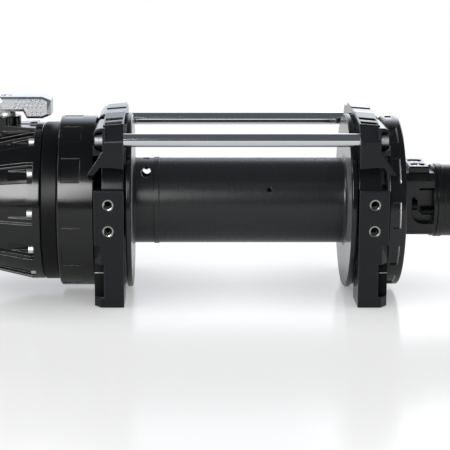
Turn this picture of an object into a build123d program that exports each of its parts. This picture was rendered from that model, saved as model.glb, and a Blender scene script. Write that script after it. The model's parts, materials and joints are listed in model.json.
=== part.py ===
"""Planetary hydraulic winch: cast supports, drum, two-stage gear end, clutch lever and orbital motor.

Millimetres. +X runs along the drum towards the motor, -Y is the rope side, +Z is up.
The origin is the centre of the four foot bolts, on the plane that the feet stand on.
"""

import os
from math import cos, pi, radians, sin, tan

from build123d import *

os.makedirs("parts", exist_ok=True)

# Driving dimensions
# Foot and fairlead bolt patterns
AXIS_HEIGHT = 88.9
FOOT_PATTERN_LENGTH = 254.0
FOOT_PATTERN_WIDTH = 114.3
FOOT_HOLE_R = 5.5
FOOT_INSET = 15.0
INSERT_PATTERN_HEIGHT = 25.4
INSERT_CENTRE_Z = -1.9
INSERT_R = 5.3
INSERT_THREAD_R = 4.2
INSERT_LENGTH = 20.0

# Clearances
FIT_GAP = 0.02
RUN_GAP = 0.05
HOLE_GAP = 0.3
SIDE_GAP = 1.5
CUT_OVER = 1.0
THREAD_RUNOUT = 1.0

# Cast drum support, heights measured from the drum axis
WEB_WIDTH = 21.4
WEB_R = 84.0
ARCH_WIDTH = 19.5
ARCH_DRAFT_ANGLE = 5.0
BLOCK_WIDTH = 28.6
FRONT_Y = 88.0
LEG_DEPTH = 42.0
BLOCK_TOP_Z = 24.5
LEG_FACET_TOP_Z = -28.0
LEG_FACET_WIDTH = 6.5
LEG_FACET_LENGTH = 9.0
WINDOW_TOP_Z = 45.6
EDGE_CHAMFER = 14.8
SHOULDER_Y = 49.0
SHOULDER_FALL = 2.4
CROWN_Y = 22.0
CROWN_FALL = 2.7
CROWN_RISE = 8.0
PAD_START_Y = 10.0
PAD_LENGTH = 34.0
PAD_HEIGHT = 0.8
POCKET_LENGTH = 26.0
POCKET_WIDTH = 16.5
POCKET_DEPTH = 5.0
POCKET_BAR = 7.5
POCKET_SETBACK = 1.6
HORN_TOP_DROP = 10.9
HORN_TIP_DROP = 6.1
HORN_REACH = 15.2
HORN_TIP_WIDTH = 6.2
HORN_DEPTH = 9.0
HORN_ROOT_RISE = 1.0
HORN_NOSE = 1.0
HORN_THROAT = 3.0
LUG_RISE = 12.0
LUG_HEIGHT = 26.0
LUG_DEPTH = 66.0
LUG_SETBACK = 3.0
LUG_ROUND = 7.0
LUG_ROOT = 2.0
SCOOP_R = 10.4
SCOOP_DEPTH = 17.5
SPIGOT_R = 54.0
SPIGOT_CLEAR = 1.0
FOOT_THICKNESS = 10.0
NOTCH_DEPTH = 9.4
NOTCH_HEIGHT = 32.0
NOTCH_SLOPE = 4.8
NOTCH_LENGTH = 8.0
NUT_SIZE = 17.0
NUT_THICKNESS = 8.0
NUT_POCKET_HEIGHT = 20.0
CORNER_CHAMFER = 1.2

# Tie rods
TIE_ROD_R = 6.35
TIE_ROD_INSET = 10.0
TIE_ROD_DROP = 0.3
TIE_SCREW_R = 4.0
TIE_SCREW_DEPTH = 16.0
TIE_HEAD_R = 5.4
TIE_HEAD_LENGTH = 7.6
TIE_SOCKET_R = 3.2
TIE_SOCKET_DEPTH = 4.0

# Drum
BARREL_R = 42.5
BARREL_BORE_R = 30.0
FLANGE_R = 86.8
FLANGE_WIDTH = 5.5
FLANGE_FILLET = 3.5
JOURNAL_R = 36.0
JOURNAL_INSET = 2.0
BUSHING_WALL = 3.5
BUSHING_LENGTH = 17.0
BEAD_INSET = 23.5
BEAD_WIDTH = 5.0
BEAD_HEIGHT = 0.8
ANCHOR_INSET = 13.0
ANCHOR_R = 5.0
ANCHOR_OFFSET = 27.6
ANCHOR_TILT_ANGLE = 9.5
ANCHOR_SCREW_R = 4.0
GREASE_HOLE_INSET = 76.0
GREASE_HOLE_R = 2.4
GREASE_HOLE_ANGLE = 24.0

# Gear end, from the drum support outwards
HOUSING_STEP = 6.4
HOUSING_WIDTH = 35.6
PANEL_COUNT = 12
PANEL_ANGLE = 17.0
PANEL_WIDTH = 18.0
PANEL_INSET = 3.8
PANEL_DEPTH = 0.9
RING_PLATE_LIP = 0.3
RING_PLATE_WIDTH = 15.9
COVER_R = 78.2
COVER_FLANGE_WIDTH = 7.9
COVER_STRAIGHT = 13.2
COVER_LENGTH = 80.0
COVER_TAPER_ANGLE = 13.0
COVER_ROUND = 14.0
COVER_SHOULDER_R = 16.8
COVER_CHAMFER = 1.3
SADDLE_TOP_Z = 76.6
SADDLE_HALF_Y = 30.0
CHANNEL_ANGLE = 15.0
CHANNEL_DEPTH = 4.5
SLOT_WIDTH = 9.4
SLOT_LENGTH = 24.0
SCREW_INSET = 4.8
SCREW_HEAD_R = 4.1
SCREW_HEAD_LENGTH = 5.2
SCREW_R = 2.5
SCREW_DEPTH = 16.0
SCREW_SOCKET_R = 2.2

# Planetary gears, both stages with the same tooth counts
PLANET_COUNT = 3
SUN_TEETH = 12
PLANET_TEETH = 15
RING_TEETH = SUN_TEETH + 2 * PLANET_TEETH
PRESSURE_ANGLE = 20.0
ADDENDUM = 0.85
DEDENDUM = 1.25
ROOT_LEAN = 0.6
BACKLASH = 0.5
OUTPUT_MODULE = 2.8
OUTPUT_FACE = 22.0
INPUT_MODULE = 2.5
INPUT_FACE = 22.0
RING_WALL = 5.5
RING_LIP = 3.0
STAGE_GAP = 2.0
CARRIER_WIDTH = 8.0
PLANET_PIN_R = 7.0
PIN_BOSS = 10.0
PIN_HEAD = 2.0
SHAFT_R = 8.0
SUN_WALL = 4.0
SPLINE_R = 20.0
SPLINE_LENGTH = 18.0
INPUT_INSET = 7.0
SHAFT_BEARING = 7.0

# Clutch lever
CLUTCH_INSET = 38.2
CLUTCH_BOSS_R = 14.0
CLUTCH_BOSS_TOP = 85.4
CLUTCH_BOSS_RIM = 1.2
FLUTE_COUNT = 9
FLUTE_R = 1.8
CLUTCH_PIN_R = 5.0
CLUTCH_PIN_DEPTH = 4.0
CLUTCH_LIFT = 6.0
NOTCH_COUNT = 8
SPINDLE_R = 8.0
SPINDLE_LENGTH = 7.5
WASHER_R = 10.0
WASHER_THICKNESS = 1.6
LEVER_UNDER_Z = 90.8
LEVER_TOP_Z = 105.4
LEVER_DROP_Z = 84.0
LEVER_REACH = 44.9
LEVER_TAIL = 17.0
LEVER_WIDTH = 29.0
LEVER_SLOPE_X = 8.5
LEVER_SLOPE_Z = 3.5
LEVER_DROP_LENGTH = 24.0
LEVER_CORNER = 4.0
LEVER_EDGE = 1.5
LEVER_SCREW_HEAD_R = 5.5
LEVER_SCREW_HEAD = 4.0
LEVER_SCREW_R = 3.0
LEVER_SCREW_LENGTH = 16.0

# Motor end, from the drum support outwards
DISC_R = 84.0
DISC_WIDTH = 17.2
DISC_PANEL_WIDTH = 8.0
DISC_PANEL_LIP = 5.2
DISC_PANEL_DEPTH = 1.4
FLANGE_SCREW_COUNT = 6
FLANGE_SCREW_CIRCLE_R = 46.0
FLANGE_SCREW_ANGLE = 30.0
FLANGE_SCREW_R = 4.0
FLANGE_HEAD_R = 6.5
FLANGE_HEAD_LENGTH = 8.0
MOTOR_PILOT_R = 34.0
MOTOR_PILOT_LENGTH = 6.0
MOTOR_LENGTH = 33.5
MOTOR_HALF_Y = 33.0
MOTOR_BOTTOM_Z = -30.0
MOTOR_TOP_Z = 32.0
MOTOR_ROUND = 8.0
PORT_BOSS_LENGTH = 20.0
PORT_BOSS_INSET = 4.5
PORT_BOSS_DEPTH = 52.0
PORT_BOSS_RISE = 6.0
PORT_PATTERN_WIDTH = 25.0
PORT_R = 8.0
PORT_DEPTH = 15.0
SIDE_POCKET_LENGTH = 22.0
SIDE_POCKET_HEIGHT = 36.0
SIDE_POCKET_DEPTH = 11.0
SIDE_POCKET_ROUND = 12.0
MOUNT_HEAD_R = 5.0
MOUNT_HEAD_LENGTH = 6.0
MOUNT_SCREW_R = 3.0
STACK_R = 36.5
STACK_GROOVE = 0.8
WEAR_PLATE_WIDTH = 4.0
SPACER_WIDTH = 6.7
GEROLER_WIDTH = 23.0
END_COVER_WIDTH = 34.0
END_COVER_CHAMFER = 1.5
STACK_BOLT_COUNT = 7
STACK_BOLT_CIRCLE_R = 28.0
STACK_BOLT_ANGLE = 90.0
STACK_BOLT_R = 3.5
STACK_BOLT_DEPTH = 12.0
STACK_HEAD_R = 6.2
STACK_HEAD_LENGTH = 7.0
COUPLING_R = 14.0
COUPLING_LENGTH = 26.0
MOTOR_SHAFT_DEPTH = 18.0

# Places worked out from the driving dimensions
FOOT_X = FOOT_PATTERN_LENGTH / 2
FOOT_Y = FOOT_PATTERN_WIDTH / 2
SUPPORT_INNER_X = FOOT_X - FOOT_INSET
CROWN_Z = WEB_R + CROWN_RISE
SHOULDER_Z = CROWN_Z - CROWN_FALL
FACET_TOP_Z = SHOULDER_Z - SHOULDER_FALL - EDGE_CHAMFER
TIE_ROD_Y = FRONT_Y - TIE_ROD_INSET
TIE_ROD_Z = FACET_TOP_Z - TIE_ROD_DROP
BLOCK_OUTER_X = SUPPORT_INNER_X + BLOCK_WIDTH
WEB_OUTER_X = SUPPORT_INNER_X + WEB_WIDTH
ARCH_OUTER_X = SUPPORT_INNER_X + ARCH_WIDTH
HORN_SETBACK = ARCH_WIDTH * tan(radians(ARCH_DRAFT_ANGLE))
BUSHING_R = JOURNAL_R + RUN_GAP + BUSHING_WALL
FLANGE_OUTER_X = SUPPORT_INNER_X - SIDE_GAP
FLANGE_INNER_X = FLANGE_OUTER_X - FLANGE_WIDTH
JOURNAL_END_X = WEB_OUTER_X - JOURNAL_INSET
HOUSING_R = COVER_R + HOUSING_STEP
RING_PLATE_R = COVER_R + RING_PLATE_LIP
SCREW_CIRCLE_R = COVER_R - SCREW_INSET
HOUSING_IN_X = -BLOCK_OUTER_X
HOUSING_OUT_X = HOUSING_IN_X - HOUSING_WIDTH
COVER_IN_X = HOUSING_OUT_X - RING_PLATE_WIDTH
COVER_SEAT_X = COVER_IN_X - COVER_FLANGE_WIDTH
COVER_END_X = COVER_IN_X - COVER_LENGTH
CLUTCH_X = COVER_IN_X - CLUTCH_INSET
DISC_OUT_X = BLOCK_OUTER_X + DISC_WIDTH
MOTOR_END_X = DISC_OUT_X + MOTOR_LENGTH
MOUNT_SCREW_Y = MOTOR_HALF_Y - SIDE_POCKET_DEPTH / 2
DRUM_AXIS = Axis((0, 0, AXIS_HEIGHT), (1, 0, 0))
AXIAL = Plane((0, 0, AXIS_HEIGHT), x_dir=(1, 0, 0), z_dir=(0, -1, 0))


def section(x):
    """Plane across the drum axis at x: its own x is +Y and its own y is height above the axis."""
    return Plane((x, 0, AXIS_HEIGHT), x_dir=(0, 1, 0), z_dir=(1, 0, 0))


def front_view(y):
    """Plane facing the rope side at y: its own x is +X and its own y is height above the axis."""
    return Plane((0, y, AXIS_HEIGHT), x_dir=(1, 0, 0), z_dir=(0, -1, 0))


def level(z):
    """Horizontal plane at a height above the drum axis."""
    return Plane((0, 0, AXIS_HEIGHT + z), x_dir=(1, 0, 0), z_dir=(0, 0, 1))


def save(builder, name):
    """Label a finished sub-part and write it out."""
    builder.part.label = name
    export_step(builder.part, f"parts/{name}.step")


# Drum support casting, modelled on the motor side and mirrored for the gear side
with BuildPart() as right_drum_support:
    with BuildSketch(section(SUPPORT_INNER_X)):
        Circle(WEB_R)
    extrude(amount=WEB_WIDTH)
    # Drafted arch over the web, carrying the tie rods
    with BuildSketch(section(SUPPORT_INNER_X)):
        with BuildLine():
            Polyline(
                (-FRONT_Y, WINDOW_TOP_Z),
                (-FRONT_Y, FACET_TOP_Z),
                (-FRONT_Y + EDGE_CHAMFER, FACET_TOP_Z + EDGE_CHAMFER),
                (-SHOULDER_Y, SHOULDER_Z),
                (-CROWN_Y, CROWN_Z),
                (CROWN_Y, CROWN_Z),
                (SHOULDER_Y, SHOULDER_Z),
                (FRONT_Y - EDGE_CHAMFER, FACET_TOP_Z + EDGE_CHAMFER),
                (FRONT_Y, FACET_TOP_Z),
                (FRONT_Y, WINDOW_TOP_Z),
                close=True,
            )
        make_face()
    extrude(amount=ARCH_WIDTH, taper=ARCH_DRAFT_ANGLE)
    # Raised pad on the crown
    with BuildSketch(section(SUPPORT_INNER_X)):
        with Locations((PAD_START_Y, CROWN_Z + PAD_HEIGHT)):
            Rectangle(PAD_LENGTH, PAD_HEIGHT + POCKET_DEPTH, align=(Align.MIN, Align.MAX))
    extrude(amount=ARCH_WIDTH, taper=ARCH_DRAFT_ANGLE)
    # Front and rear legs, with a facet down the outer corner below the block that takes the fairlead bolts
    for side in (-1, 1):
        leg_y = side * (FRONT_Y - LEG_DEPTH / 2)
        with BuildSketch(section(SUPPORT_INNER_X)):
            with Locations((leg_y, BLOCK_TOP_Z)):
                Rectangle(LEG_DEPTH, BLOCK_TOP_Z + AXIS_HEIGHT, align=(Align.CENTER, Align.MAX))
        extrude(amount=BLOCK_WIDTH)
        with BuildSketch(level(-AXIS_HEIGHT)):
            with BuildLine():
                Polyline(
                    (BLOCK_OUTER_X, side * FRONT_Y),
                    (BLOCK_OUTER_X - LEG_FACET_WIDTH, side * FRONT_Y),
                    (BLOCK_OUTER_X, side * (FRONT_Y - LEG_FACET_LENGTH)),
                    close=True,
                )
            make_face()
        extrude(amount=AXIS_HEIGHT + LEG_FACET_TOP_Z, mode=Mode.SUBTRACT)
        # Lug out to the neighbouring housing, scooped out round the head of the tie rod screw
        with BuildSketch(front_view(side * (FRONT_Y - LUG_SETBACK))) as lug:
            with Locations((ARCH_OUTER_X - LUG_ROOT, FACET_TOP_Z + LUG_RISE)):
                Rectangle(BLOCK_OUTER_X - ARCH_OUTER_X + LUG_ROOT, LUG_HEIGHT, align=(Align.MIN, Align.MAX))
            fillet(lug.vertices().group_by(Axis.X)[-1].sort_by(Axis.Y)[-1], LUG_ROUND)
        extrude(amount=side * LUG_DEPTH)
        with BuildSketch(front_view(side * FRONT_Y)):
            with Locations((ARCH_OUTER_X, TIE_ROD_Z)):
                Circle(SCOOP_R)
                Rectangle(SCOOP_R, 2 * SCOOP_R, align=(Align.MIN, Align.CENTER), mode=Mode.INTERSECT)
        extrude(amount=side * SCOOP_DEPTH, mode=Mode.SUBTRACT)
        # Horn that reaches over the rim of the neighbouring housing
        horn_root_z = WINDOW_TOP_Z + HORN_ROOT_RISE
        with BuildSketch(front_view(side * (FRONT_Y - HORN_SETBACK))):
            with BuildLine():
                Polyline(
                    (ARCH_OUTER_X - HORN_DEPTH, FACET_TOP_Z - HORN_TOP_DROP),
                    (ARCH_OUTER_X + HORN_NOSE, FACET_TOP_Z - HORN_TOP_DROP),
                    (ARCH_OUTER_X + HORN_REACH, WINDOW_TOP_Z - HORN_TIP_DROP),
                    (ARCH_OUTER_X + HORN_REACH - HORN_TIP_WIDTH, WINDOW_TOP_Z - HORN_TIP_DROP),
                    (ARCH_OUTER_X + HORN_THROAT, horn_root_z),
                    (ARCH_OUTER_X - HORN_DEPTH, horn_root_z),
                    close=True,
                )
            make_face()
        extrude(amount=side * HORN_DEPTH)
    # Bore for the drum bushing and room for the housing spigot
    with BuildSketch(section(SUPPORT_INNER_X)):
        Circle(BUSHING_R + FIT_GAP)
    extrude(amount=WEB_WIDTH, mode=Mode.SUBTRACT)
    with BuildSketch(section(WEB_OUTER_X)):
        Circle(SPIGOT_R + SPIGOT_CLEAR)
    extrude(amount=BLOCK_WIDTH, mode=Mode.SUBTRACT)
    for side in (-1, 1):
        leg_y = side * (FRONT_Y - LEG_DEPTH / 2)
        # Notch in the outer corner of the foot, sloping at its floor, and the nut pocket that opens into it
        notch_floor_z = FOOT_THICKNESS - AXIS_HEIGHT
        with BuildSketch(front_view(side * (FRONT_Y + CUT_OVER))):
            with BuildLine():
                Polyline(
                    (BLOCK_OUTER_X - NOTCH_DEPTH, notch_floor_z + NOTCH_HEIGHT),
                    (BLOCK_OUTER_X + CUT_OVER, notch_floor_z + NOTCH_HEIGHT),
                    (BLOCK_OUTER_X + CUT_OVER, notch_floor_z + NOTCH_SLOPE),
                    (BLOCK_OUTER_X - NOTCH_DEPTH, notch_floor_z),
                    close=True,
                )
            make_face()
        extrude(amount=side * (NOTCH_LENGTH + CUT_OVER), mode=Mode.SUBTRACT)
        with BuildSketch(level(notch_floor_z)):
            with Locations((BLOCK_OUTER_X - NOTCH_DEPTH, side * FOOT_Y)):
                Rectangle(
                    NOTCH_DEPTH + CUT_OVER,
                    FRONT_Y - FOOT_Y,
                    align=(Align.MIN, Align.MIN if side > 0 else Align.MAX),
                )
        extrude(amount=NUT_POCKET_HEIGHT, mode=Mode.SUBTRACT)
        with BuildSketch(level(notch_floor_z)):
            with Locations((FOOT_X - NUT_SIZE / 2, side * FOOT_Y)):
                Rectangle(BLOCK_WIDTH, NUT_SIZE + 2 * HOLE_GAP, align=(Align.MIN, Align.CENTER))
        extrude(amount=NUT_POCKET_HEIGHT, mode=Mode.SUBTRACT)
        with BuildSketch(level(-AXIS_HEIGHT)):
            with Locations((FOOT_X, side * FOOT_Y)):
                Circle(FOOT_HOLE_R)
        extrude(amount=FOOT_THICKNESS, mode=Mode.SUBTRACT)
        # Screw hole for the tie rod
        with BuildSketch(section(SUPPORT_INNER_X)):
            with Locations((side * TIE_ROD_Y, TIE_ROD_Z)):
                Circle(TIE_SCREW_R + HOLE_GAP)
        extrude(amount=ARCH_WIDTH, mode=Mode.SUBTRACT)
        # Two cast pockets in the sloping shoulder, with a bar between them
        pocket_y = side * (FRONT_Y - EDGE_CHAMFER - POCKET_SETBACK - POCKET_LENGTH / 2)
        with BuildSketch(level(SHOULDER_Z - POCKET_DEPTH)):
            with GridLocations(1, (POCKET_LENGTH + POCKET_BAR) / 2, 1, 2):
                with Locations((SUPPORT_INNER_X + ARCH_WIDTH / 2, pocket_y)):
                    Rectangle(POCKET_WIDTH, (POCKET_LENGTH - POCKET_BAR) / 2)
        extrude(amount=2 * POCKET_DEPTH, mode=Mode.SUBTRACT)
    # Fairlead insert holes in the front face
    with BuildSketch(front_view(-FRONT_Y)):
        with Locations((FOOT_X, INSERT_CENTRE_Z)):
            with GridLocations(1, INSERT_PATTERN_HEIGHT, 1, 2):
                Circle(INSERT_R + FIT_GAP)
    extrude(amount=-INSERT_LENGTH, mode=Mode.SUBTRACT)
save(right_drum_support, "right_drum_support")

with BuildPart() as left_drum_support:
    mirror(right_drum_support.part, about=Plane.YZ)
save(left_drum_support, "left_drum_support")

# Tie rods between the supports, tapped at both ends for their screws
for side, name in ((-1, "front_tie_rod"), (1, "rear_tie_rod")):
    with BuildPart() as tie_rod:
        with BuildSketch(section(-SUPPORT_INNER_X)):
            with Locations((side * TIE_ROD_Y, TIE_ROD_Z)):
                Circle(TIE_ROD_R)
        extrude(amount=2 * SUPPORT_INNER_X)
        for end in (-1, 1):
            with BuildSketch(section(end * SUPPORT_INNER_X)):
                with Locations((side * TIE_ROD_Y, TIE_ROD_Z)):
                    Circle(TIE_SCREW_R + FIT_GAP)
            extrude(amount=-end * (TIE_SCREW_DEPTH + THREAD_RUNOUT), mode=Mode.SUBTRACT)
    save(tie_rod, name)

with BuildPart() as tie_rod_screws:
    for end in (-1, 1):
        with BuildSketch(section(end * (SUPPORT_INNER_X - TIE_SCREW_DEPTH))):
            with GridLocations(2 * TIE_ROD_Y, 1, 2, 1):
                with Locations((0, TIE_ROD_Z)):
                    Circle(TIE_SCREW_R)
        extrude(amount=end * (TIE_SCREW_DEPTH + ARCH_WIDTH))
        with BuildSketch(section(end * ARCH_OUTER_X)):
            with GridLocations(2 * TIE_ROD_Y, 1, 2, 1):
                with Locations((0, TIE_ROD_Z)):
                    Circle(TIE_HEAD_R)
                    RegularPolygon(TIE_SOCKET_R, 6, mode=Mode.SUBTRACT)
        extrude(amount=end * TIE_HEAD_LENGTH)
        with BuildSketch(section(end * ARCH_OUTER_X)):
            with GridLocations(2 * TIE_ROD_Y, 1, 2, 1):
                with Locations((0, TIE_ROD_Z)):
                    Circle(TIE_HEAD_R)
        extrude(amount=end * (TIE_HEAD_LENGTH - TIE_SOCKET_DEPTH))
save(tie_rod_screws, "tie_rod_screws")

# Threaded inserts that take the fairlead bolts
with BuildPart() as thread_inserts:
    with BuildSketch(front_view(-FRONT_Y)):
        with Locations((0, INSERT_CENTRE_Z)):
            with GridLocations(FOOT_PATTERN_LENGTH, INSERT_PATTERN_HEIGHT, 2, 2):
                Circle(INSERT_R)
                Circle(INSERT_THREAD_R, mode=Mode.SUBTRACT)
    extrude(amount=-INSERT_LENGTH)
save(thread_inserts, "thread_inserts")

# Square nuts in the feet
with BuildPart() as foot_nuts:
    with BuildSketch(level(FOOT_THICKNESS - AXIS_HEIGHT)):
        with GridLocations(FOOT_PATTERN_LENGTH, FOOT_PATTERN_WIDTH, 2, 2):
            Rectangle(NUT_SIZE - HOLE_GAP, NUT_SIZE)
            Circle(FOOT_HOLE_R, mode=Mode.SUBTRACT)
    extrude(amount=NUT_THICKNESS)
save(foot_nuts, "foot_nuts")

# Plain bushings that carry the drum journals, and lip seals that keep them clean
for end, bushing_name, seal_name in (
    (-1, "left_drum_bushing", "left_drum_seal"),
    (1, "right_drum_bushing", "right_drum_seal"),
):
    with BuildPart() as drum_bushing:
        with BuildSketch(section(end * (JOURNAL_END_X - BUSHING_LENGTH))):
            Circle(BUSHING_R)
            Circle(JOURNAL_R + RUN_GAP, mode=Mode.SUBTRACT)
        extrude(amount=end * BUSHING_LENGTH)
    save(drum_bushing, bushing_name)
    with BuildPart() as drum_seal:
        with BuildSketch(section(end * SUPPORT_INNER_X)):
            Circle(BUSHING_R)
            Circle(JOURNAL_R + RUN_GAP, mode=Mode.SUBTRACT)
        extrude(amount=end * (JOURNAL_END_X - BUSHING_LENGTH - SUPPORT_INNER_X))
    save(drum_seal, seal_name)

# Rope drum with its two flanges and journals
ANCHOR_X = ANCHOR_INSET - FLANGE_INNER_X
BEAD_X = BEAD_INSET - FLANGE_INNER_X
with BuildPart() as drum:
    with BuildSketch(AXIAL):
        with BuildLine():
            Polyline(
                (-JOURNAL_END_X, 0),
                (-JOURNAL_END_X, JOURNAL_R),
                (-FLANGE_OUTER_X, JOURNAL_R),
                (-FLANGE_OUTER_X, FLANGE_R),
                (-FLANGE_INNER_X, FLANGE_R),
                (-FLANGE_INNER_X, BARREL_R),
                (FLANGE_INNER_X, BARREL_R),
                (FLANGE_INNER_X, FLANGE_R),
                (FLANGE_OUTER_X, FLANGE_R),
                (FLANGE_OUTER_X, JOURNAL_R),
                (JOURNAL_END_X, JOURNAL_R),
                (JOURNAL_END_X, 0),
                close=True,
            )
        make_face()
    revolve(axis=DRUM_AXIS)
    roots = drum.edges().filter_by(lambda edge: abs(edge.length - 2 * pi * BARREL_R) < RUN_GAP)
    fillet(roots, FLANGE_FILLET)
    rims = drum.edges().filter_by(lambda edge: abs(edge.length - 2 * pi * FLANGE_R) < RUN_GAP)
    chamfer(rims, CORNER_CHAMFER)
    # Bead round the barrel beside the rope anchor
    with BuildSketch(AXIAL):
        with Locations((BEAD_X, BARREL_R)):
            Rectangle(BEAD_WIDTH, 2 * BEAD_HEIGHT)
    revolve(axis=DRUM_AXIS)
    # Hollow barrel, and the hexagonal socket that the gears drive
    with BuildSketch(section(SPLINE_LENGTH - JOURNAL_END_X)):
        Circle(BARREL_BORE_R)
    extrude(amount=2 * JOURNAL_END_X - SPLINE_LENGTH, mode=Mode.SUBTRACT)
    with BuildSketch(section(-JOURNAL_END_X)):
        RegularPolygon(SPLINE_R + FIT_GAP, 6)
    extrude(amount=SPLINE_LENGTH, mode=Mode.SUBTRACT)
    # Rope anchor hole straight across the barrel, its screw hole and the grease hole
    tilt = radians(ANCHOR_TILT_ANGLE)
    anchor_plane = Plane(
        (ANCHOR_X, ANCHOR_OFFSET * sin(tilt), AXIS_HEIGHT + ANCHOR_OFFSET * cos(tilt)),
        x_dir=(1, 0, 0),
        z_dir=(0, cos(tilt), -sin(tilt)),
    )
    with BuildSketch(anchor_plane):
        Circle(ANCHOR_R)
    extrude(amount=BARREL_R, both=True, mode=Mode.SUBTRACT)
    with BuildSketch(level(0)):
        with Locations((ANCHOR_X, 0)):
            Circle(ANCHOR_SCREW_R)
    extrude(amount=2 * BARREL_R, mode=Mode.SUBTRACT)
    grease = radians(GREASE_HOLE_ANGLE)
    grease_plane = Plane(
        (FLANGE_INNER_X - GREASE_HOLE_INSET, 0, AXIS_HEIGHT),
        x_dir=(1, 0, 0),
        z_dir=(0, -cos(grease), sin(grease)),
    )
    with BuildSketch(grease_plane):
        Circle(GREASE_HOLE_R)
    extrude(amount=2 * BARREL_R, mode=Mode.SUBTRACT)
save(drum, "drum")


def spoke(angle):
    """Plane that holds the drum axis at an angle from +Y: its own x is +X and its own y runs outwards."""
    turn = radians(angle)
    return Plane((0, 0, AXIS_HEIGHT), x_dir=(1, 0, 0), z_dir=(0, -sin(turn), cos(turn)))


def cut_rim_panels(x_low, x_high, radius, depth):
    """Cut shallow panels round a rim, evenly spaced, between two places along the axis."""
    for index in range(PANEL_COUNT):
        middle = index * 360 / PANEL_COUNT
        with BuildSketch(spoke(middle - PANEL_ANGLE / 2)) as panel:
            with Locations(((x_low + x_high) / 2, radius)):
                Rectangle(x_high - x_low, 2 * depth)
        revolve(panel.sketch, axis=DRUM_AXIS, revolution_arc=PANEL_ANGLE, mode=Mode.SUBTRACT)


def tooth_points(teeth, inner, outer, half_inner, half_outer):
    """Corner points of a toothed outline, four to a tooth, with a tooth on the first axis."""
    points = []
    for index in range(teeth):
        middle = index * 2 * pi / teeth
        for radius, half in (
            (inner, -half_inner),
            (outer, -half_outer),
            (outer, half_outer),
            (inner, half_inner),
        ):
            turn = middle + half / radius
            points.append((radius * cos(turn), radius * sin(turn)))
    return points


def gear_outline(teeth, module):
    """Outline of an outside gear, each tooth thinned by half the backlash."""
    pitch_r = teeth * module / 2
    half = (pi * module / 2 - BACKLASH) / 2
    lean = module * tan(radians(PRESSURE_ANGLE))
    half_root = half + ROOT_LEAN * DEDENDUM * lean
    half_tip = half - ADDENDUM * lean
    return tooth_points(
        teeth, pitch_r - DEDENDUM * module, pitch_r + ADDENDUM * module, half_root, half_tip
    )


def ring_outline(teeth, module):
    """Outline of the hole in a ring gear, each space widened by half the backlash."""
    pitch_r = teeth * module / 2
    half = (pi * module / 2 + BACKLASH) / 2
    lean = module * tan(radians(PRESSURE_ANGLE))
    half_tip = half + ADDENDUM * lean
    half_root = half - DEDENDUM * lean
    return tooth_points(
        teeth, pitch_r - ADDENDUM * module, pitch_r + DEDENDUM * module, half_tip, half_root
    )


def ring_outer_r(module):
    """Outside radius of a ring gear."""
    return RING_TEETH * module / 2 + DEDENDUM * module + RING_WALL


def centre_distance(module):
    """Distance from the drum axis to a planet's axis."""
    return (SUN_TEETH + PLANET_TEETH) * module / 2


# Places along the gear train
OUTPUT_PLATE_X = -(WEB_OUTER_X + SIDE_GAP)
OUTPUT_GEAR_X = OUTPUT_PLATE_X - CARRIER_WIDTH - STAGE_GAP
INPUT_PLATE_X = COVER_IN_X - INPUT_INSET
INPUT_GEAR_X = INPUT_PLATE_X - CARRIER_WIDTH - STAGE_GAP
CLUTCH_RING_END_X = CLUTCH_X - CLUTCH_PIN_R - SIDE_GAP
CAVITY_END_X = CLUTCH_RING_END_X - SIDE_GAP
OUTPUT_RING_R = ring_outer_r(OUTPUT_MODULE)
INPUT_RING_R = ring_outer_r(INPUT_MODULE)
OUTPUT_CARRIER_R = centre_distance(OUTPUT_MODULE) + PIN_BOSS
INPUT_CARRIER_R = centre_distance(INPUT_MODULE) + PIN_BOSS
SUN_SHAFT_R = SHAFT_R + SUN_WALL
SCREW_ANGLES = [index * 360 / PANEL_COUNT for index in range(PANEL_COUNT)]

# Gear housing with its panelled rim and the spigot that centres it in the support
with BuildPart() as gear_housing:
    with BuildSketch(AXIAL):
        with BuildLine():
            Polyline(
                (HOUSING_IN_X, SPIGOT_R),
                (HOUSING_IN_X, HOUSING_R),
                (HOUSING_OUT_X, HOUSING_R),
                (HOUSING_OUT_X, OUTPUT_RING_R + FIT_GAP),
                (HOUSING_IN_X - RING_LIP, OUTPUT_RING_R + FIT_GAP),
                (HOUSING_IN_X - RING_LIP, OUTPUT_CARRIER_R + SIDE_GAP),
                (-WEB_OUTER_X, OUTPUT_CARRIER_R + SIDE_GAP),
                (-WEB_OUTER_X, SPIGOT_R),
                close=True,
            )
        make_face()
    revolve(axis=DRUM_AXIS)
    chamfer(gear_housing.edges().filter_by(lambda edge: edge.length > 2 * pi * COVER_R), CORNER_CHAMFER)
    panel_low_x = HOUSING_OUT_X + PANEL_INSET
    cut_rim_panels(panel_low_x, panel_low_x + PANEL_WIDTH, HOUSING_R, PANEL_DEPTH)
    with BuildSketch(section(HOUSING_OUT_X)):
        with PolarLocations(SCREW_CIRCLE_R, PANEL_COUNT):
            Circle(SCREW_R + FIT_GAP)
    extrude(amount=SCREW_DEPTH + THREAD_RUNOUT, mode=Mode.SUBTRACT)
save(gear_housing, "gear_housing")

with BuildPart() as output_ring_gear:
    with BuildSketch(section(HOUSING_OUT_X)):
        Circle(OUTPUT_RING_R)
        with BuildLine():
            Polyline(*ring_outline(RING_TEETH, OUTPUT_MODULE), close=True)
        make_face(mode=Mode.SUBTRACT)
    extrude(amount=HOUSING_WIDTH - RING_LIP)
save(output_ring_gear, "output_ring_gear")

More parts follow.
